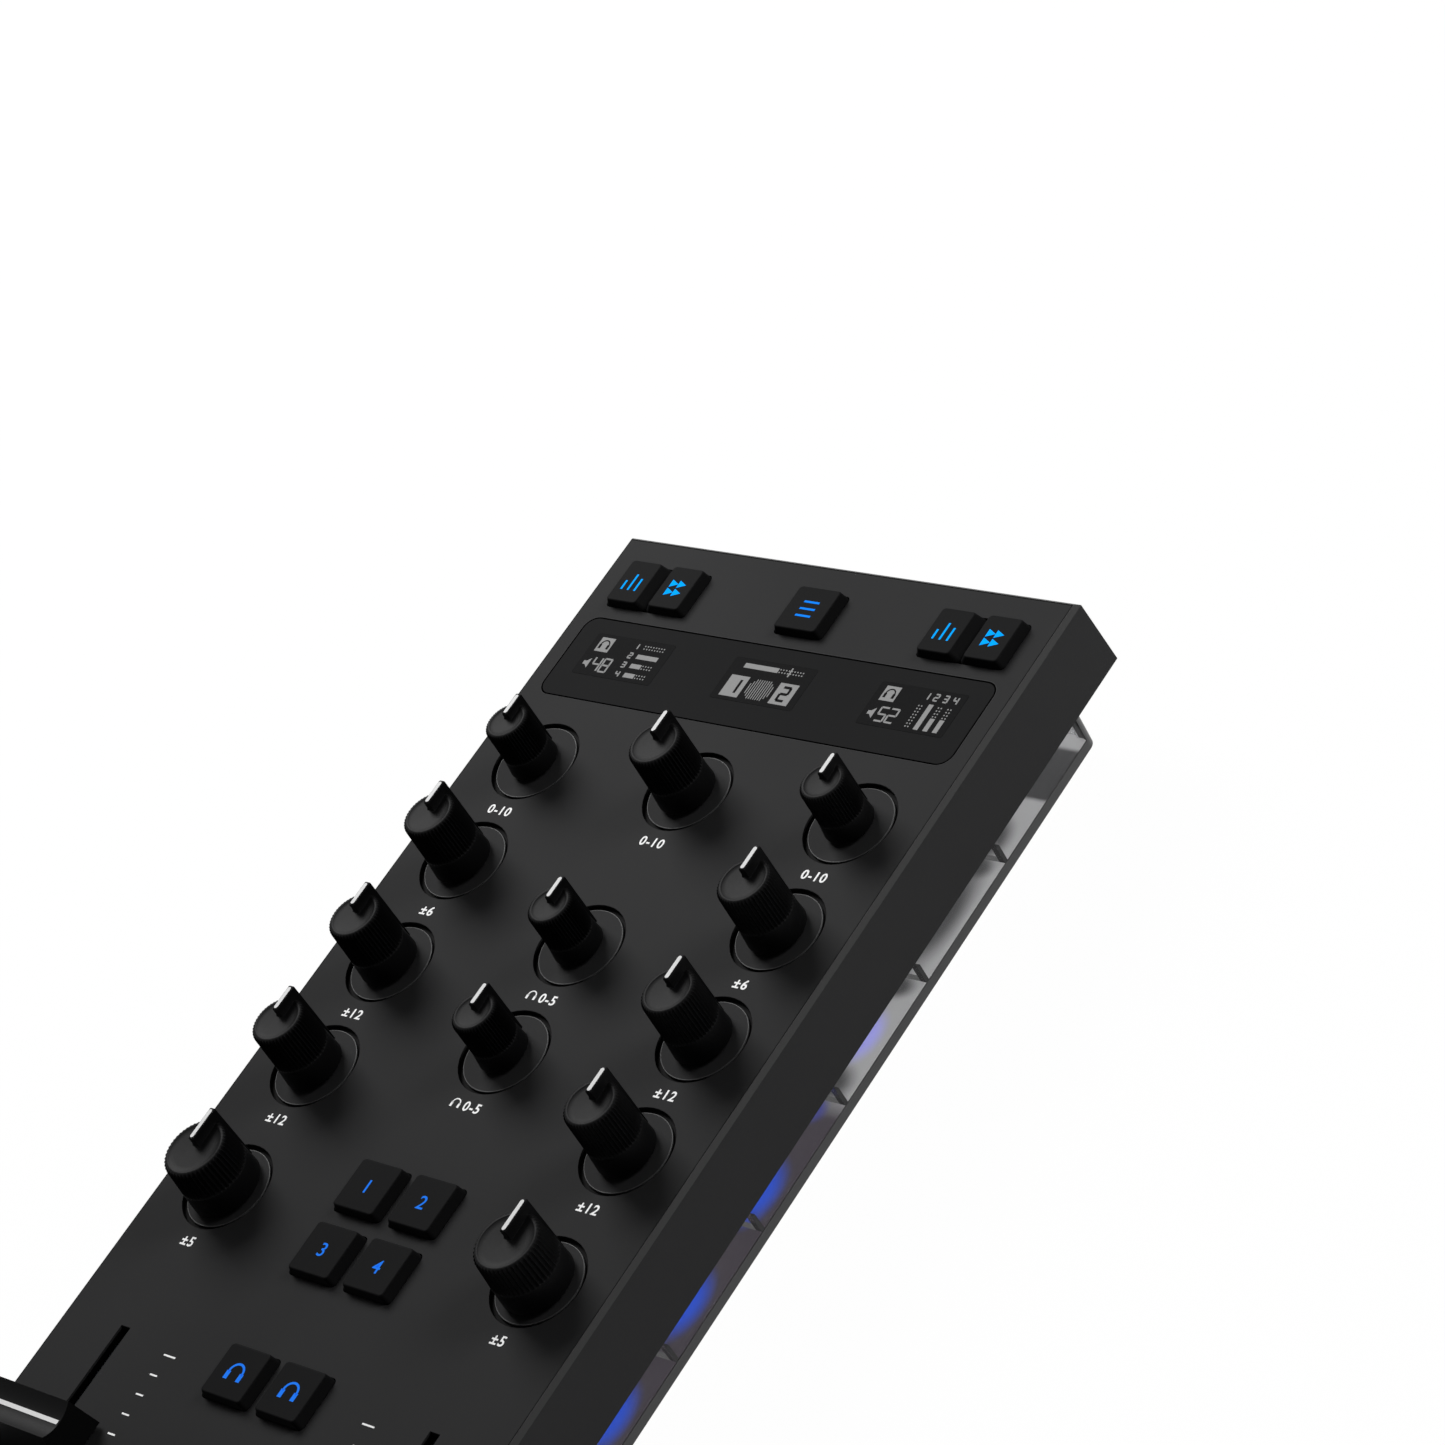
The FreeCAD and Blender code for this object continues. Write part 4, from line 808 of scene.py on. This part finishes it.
half_turn = np.linspace(0, math.pi, LINE_END_STEPS)
line_end = POINTER_HALF * np.column_stack([np.cos(half_turn), np.sin(half_turn)])
for name, (x, y, size) in KNOB_PLACES.items():
    k = KNOB_SIZES[size]
    grip_points, grip_faces = turned_grip(k)
    fin_points, fin_faces = pointer_fin(k)
    knob_points = np.concatenate([grip_points, fin_points]) + (x, y, PANEL_TOP)
    knob_faces = grip_faces + [[v + len(grip_points) for v in face] for face in fin_faces]
    knob = new_piece("grip_" + name, knob_points, knob_faces)
    knob.data.shade_smooth()
    knob.data.set_sharp_from_angle(angle=math.radians(SHARP_EDGE))
    knob.data.materials.append(knob_plastic)
    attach(knob, "knob_" + name)
    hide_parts("knob_" + name)
    inner, outer = y + k["start"] + POINTER_INNER, y + k["reach"] - POINTER_OUTER
    line = np.concatenate([(x, outer) + line_end, (x, inner) - line_end])
    line_top = PANEL_TOP + k["fin_top"]
    pointer = plates("pointer_" + name, [line], line_top - POINTER_DEPTH, line_top)
    pointer.data.materials.append(pointer_white)
    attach(pointer, "knob_" + name)

# Fader caps
# Black moulded caps with a finger dip, pushed on the levers that reach up through the panel's slots. A
# white line is set across the middle of each.
CAP_FOOT = PANEL_TOP + 0.9
CAP_LINE = (20.0, 0.9)
CAP_LINE_LOW, CAP_LINE_HIGH = CAP_FOOT + 7.3, CAP_FOOT + 7.45
for name, line in (("fader_a", bar(-KNOB_COLUMN, FADER_ROW, *CAP_LINE)),
                   ("fader_b", bar(KNOB_COLUMN, FADER_ROW, *CAP_LINE)),
                   ("crossfader", bar(0.0, CROSSFADER_ROW, *CAP_LINE[::-1]))):
    dress(name + "_cap", knob_plastic)
    cap_line = plates("line_" + name, [line], CAP_LINE_LOW, CAP_LINE_HIGH)
    cap_line.data.materials.append(pointer_white)
    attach(cap_line, name)

# Light base
# A tub moulded in smoked clear plastic, screwed under the chassis. Its floor and its corner posts are thick
# enough to look dark; between the posts its walls are clear panes, parted by thin pegs, and low ribs cross
# it inside.
BASE_LOW, BASE_HEIGHT = 1.7, 16.6
BASE_HALF = np.array([52.5, 138.9])
BASE_LEAN = 0.41
FLOOR, FLOOR_BEVEL = 2.6, 0.35
FILM, FILM_CLEAR = 0.15, 0.02
CORNER, CORNER_STEPS = 2.5, 8
PANE, PANE_TINT, PANE_BENDING = 1.8, (0.72, 0.72, 0.73, 1), 1.06
RIPPLE_SCALE, RIPPLE_DEPTH = 60.0, 0.03
RIB_COUNT, RIB_PITCH, RIB_WIDTH = 8, 30.0, 0.9
PEG_HEIGHT, PEG_SLACK, CROSS_RIB_HEIGHT = 4.5, 0.1, 0.5


def leaning_stack(name, outlines, heights, bevel=0.0):
    """Solids with the tub's slope: each outline is carried up through the heights, and its points at height z
    are moved out by L z / H times their share of the half width, less the bevel at the lowest height."""
    insets = [bevel] + [0.0] * (len(heights) - 1)
    towers = []
    for outline in outlines:
        grown = [outline * (1 + (BASE_LEAN * height / BASE_HEIGHT - inset) / BASE_HALF)
                 for height, inset in zip(heights, insets)]
        towers.append([at_height(loop, BASE_LOW + height) for loop, height in zip(grown, heights)])
    piece = stacks(name, towers)
    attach(piece, "mixer")
    return piece


smoked_solid = grained_plastic("smoked_solid", (0.042, 0.042, 0.043), (0.050, 0.050, 0.051),
                               roughness=0.35, gloss=0.3, grain_scale=900.0, grain_depth=0.01)
floor_outline = rounded_plate(0, 0, *(2 * BASE_HALF), CORNER, CORNER_STEPS)
base_floor = leaning_stack("base_floor", [floor_outline], (0.0, FLOOR_BEVEL, FLOOR), FLOOR_BEVEL)
base_floor.data.materials.append(smoked_solid)
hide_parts("light_base")

quarter = np.linspace(0, math.pi / 2, CORNER_STEPS)
corner_post = np.concatenate([CORNER * np.column_stack([np.cos(quarter), np.sin(quarter)]), [[0, 0]]])
corner_post = corner_post + BASE_HALF - CORNER
corner_posts = []
for across, along in ((1, 1), (-1, 1), (-1, -1), (1, -1)):
    outline = corner_post * (across, along)
    corner_posts.append(outline if across == along else outline[::-1])
base_posts = leaning_stack("base_posts", corner_posts, (FLOOR, BASE_HEIGHT))
base_posts.data.materials.append(smoked_solid)

side_x, end_y = BASE_HALF - PANE / 2
end_half, side_half = BASE_HALF - CORNER
rib_places = [(n - (RIB_COUNT - 1) / 2) * RIB_PITCH for n in range(RIB_COUNT)]
pane_edges = [-side_half] + rib_places + [side_half]
panes = [bar(side * side_x, (low + high) / 2, PANE, high - low - RIB_WIDTH)
         for side in (-1, 1) for low, high in zip(pane_edges, pane_edges[1:])]
panes += [bar(0, side * end_y, 2 * end_half, PANE) for side in (-1, 1)]
base_panes = leaning_stack("base_panes", panes, (FLOOR + FILM + FILM_CLEAR, BASE_HEIGHT))
material, recipe = new_material("smoked_clear")
ripple = recipe.add("Bump", Strength=0.1, Distance=RIPPLE_DEPTH / 1000)
recipe.link(recipe.noise(RIPPLE_SCALE), ripple, "Height")
shader = recipe.add("BsdfPrincipled", Base_Color=PANE_TINT, Roughness=0.03, IOR=PANE_BENDING,
                    Transmission_Weight=1.0)
recipe.link(ripple.outputs["Normal"], shader, "Normal")
recipe.surface(shader)
base_panes.data.materials.append(material)

pegs = [bar(side * side_x, y, PANE - PEG_SLACK, RIB_WIDTH) for y in rib_places for side in (-1, 1)]
base_ribs = leaning_stack("base_ribs", pegs, (FLOOR + FILM, FLOOR + PEG_HEIGHT))
# Painted light: the pegs glow faintly of themselves, though no lamp lights them.
peg_painted_glow = ink_and_painted_light("peg_painted_glow", (0.022, 0.022, 0.0225), (0.030, 0.030, 0.0305), glow=1.0)
base_ribs.data.materials.append(peg_painted_glow)
rib_length = 2 * (BASE_HALF[0] - PANE)
rib_outlines = [bar(0, y, rib_length, RIB_WIDTH) for y in rib_places]
cross_ribs = leaning_stack("cross_ribs", rib_outlines, (FLOOR + FILM, FLOOR + CROSS_RIB_HEIGHT))
# Painted light: the cross ribs glow grey of themselves, like the film round them.
cross_rib_painted_glow = ink_and_painted_light("cross_rib_painted_glow", (0.10, 0.10, 0.10), (0.12, 0.12, 0.12), glow=1.0)
cross_ribs.data.materials.append(cross_rib_painted_glow)

# Light film
# A pale plastic film lies on the base's floor, where it would spread the light of the lamps above it; here
# that
# light is painted as its own glow: grey at the rear with painted shadows as darker bands, dim towards the
# front, and painted blue pools of light under the lamps that are lit.
FILM_INSET = 0.3
FILM_GLOW_GREY, FILM_DIM = (0.345, 0.345, 0.345, 1), (0.066, 0.058, 0.068, 1)
FILM_DIM_END, FILM_GREY_START = 41.0, 47.0
FILM_PAINTED_SHADOW, FILM_SHADE = (0.078, 0.078, 0.079, 1), (0.059, 0.059, 0.060, 1)
FILM_PAINTED_BLUE_LIGHT, FILM_PAINTED_PALE_LIGHT = (0.034, 0.090, 0.56, 1), (0.34, 0.34, 0.74, 1)
FILM_PAINTED_FAINT_LIGHT = (0.07, 0.075, 0.26, 1)
SHADE_BAND, SHADE_CORE = (48, 127, 70, 7.3), 0.8
PAINTED_SHADOW_POOLS = ((45.5, 90, 7.5, 19), (45.5, 109.5, 6, 7.5), (46, 102.5, 6, 4), (46, 72.5, 6, 4),
              (45.5, 48.5, 7.5, 6.5))
PALE_POOL, FAINT_POOL = (46.5, 60, 5, 8), (46, 42, 4, 4)
LAMP_X, LAMP_ROWS, LAMP_REACH = 46, (22, -4, -30, -60, -90, -120), (6, 10)
film_outline = rounded_plate(0, 0, *(2 * (BASE_HALF - FILM_INSET)), CORNER, CORNER_STEPS)
painted_glow_film = leaning_stack("painted_glow_film", [film_outline], (FLOOR, FLOOR + FILM))
material, recipe = new_material("painted_glow_film")
split = recipe.add("SeparateXYZ")
recipe.link(recipe.place(), split, "Vector")
mirrored = recipe.add("Math", p_operation="ABSOLUTE")
recipe.link(split.outputs["X"], mirrored, 0)
film_place = recipe.add("CombineXYZ")
recipe.link(mirrored.outputs[0], film_place, "X")
recipe.link(split.outputs["Y"], film_place, "Y")


def pool(under, x, y, reach_x, reach_y, colour, core=0.3):
    """Soft oval of another tone, used for painted shadows and painted pools of light, alike at both sides of
    the base: full up to the core's share of its reach, and easing to nothing at its edge; x, y and reach in
    millimetres."""
    centred = recipe.add("Mapping", Location=(-x / reach_x, -y / reach_y, 0),
                         Scale=(1000 / reach_x, 1000 / reach_y, 0))
    recipe.link(film_place.outputs["Vector"], centred, "Vector")
    distance = recipe.add("VectorMath", p_operation="LENGTH")
    recipe.link(centred.outputs["Vector"], distance, 0)
    share = recipe.add("MapRange", p_interpolation_type="SMOOTHSTEP", From_Min=1.0, From_Max=core)
    recipe.link(distance.outputs["Value"], share, "Value")
    return recipe.mixed(share.outputs["Result"], under, colour)


# Painted light: the film's tone is also its glow. Dark pools are painted shadows, and the blue and pale pools
# are painted pools of light.
along = recipe.add("MapRange", From_Min=FILM_DIM_END / 1000, From_Max=FILM_GREY_START / 1000)
recipe.link(split.outputs["Y"], along, "Value")
film_tone = recipe.mixed(along.outputs["Result"], FILM_DIM, FILM_GLOW_GREY)
film_tone = pool(film_tone, *SHADE_BAND, FILM_SHADE, SHADE_CORE)
for painted_shadow_pool in PAINTED_SHADOW_POOLS:
    film_tone = pool(film_tone, *painted_shadow_pool, FILM_PAINTED_SHADOW)
film_tone = pool(film_tone, *PALE_POOL, FILM_PAINTED_PALE_LIGHT)
for lamp_y in LAMP_ROWS:
    film_tone = pool(film_tone, LAMP_X, lamp_y, *LAMP_REACH, FILM_PAINTED_BLUE_LIGHT)
film_tone = pool(film_tone, *FAINT_POOL, FILM_PAINTED_FAINT_LIGHT)
# The film gives off its own colour as light: painted glow, lit by no lamp.
shader = recipe.add("BsdfPrincipled", Roughness=0.6, Emission_Strength=1.0)
recipe.link(film_tone, shader, "Base Color")
recipe.link(film_tone, shader, "Emission Color")
recipe.surface(shader)
painted_glow_film.data.materials.append(material)
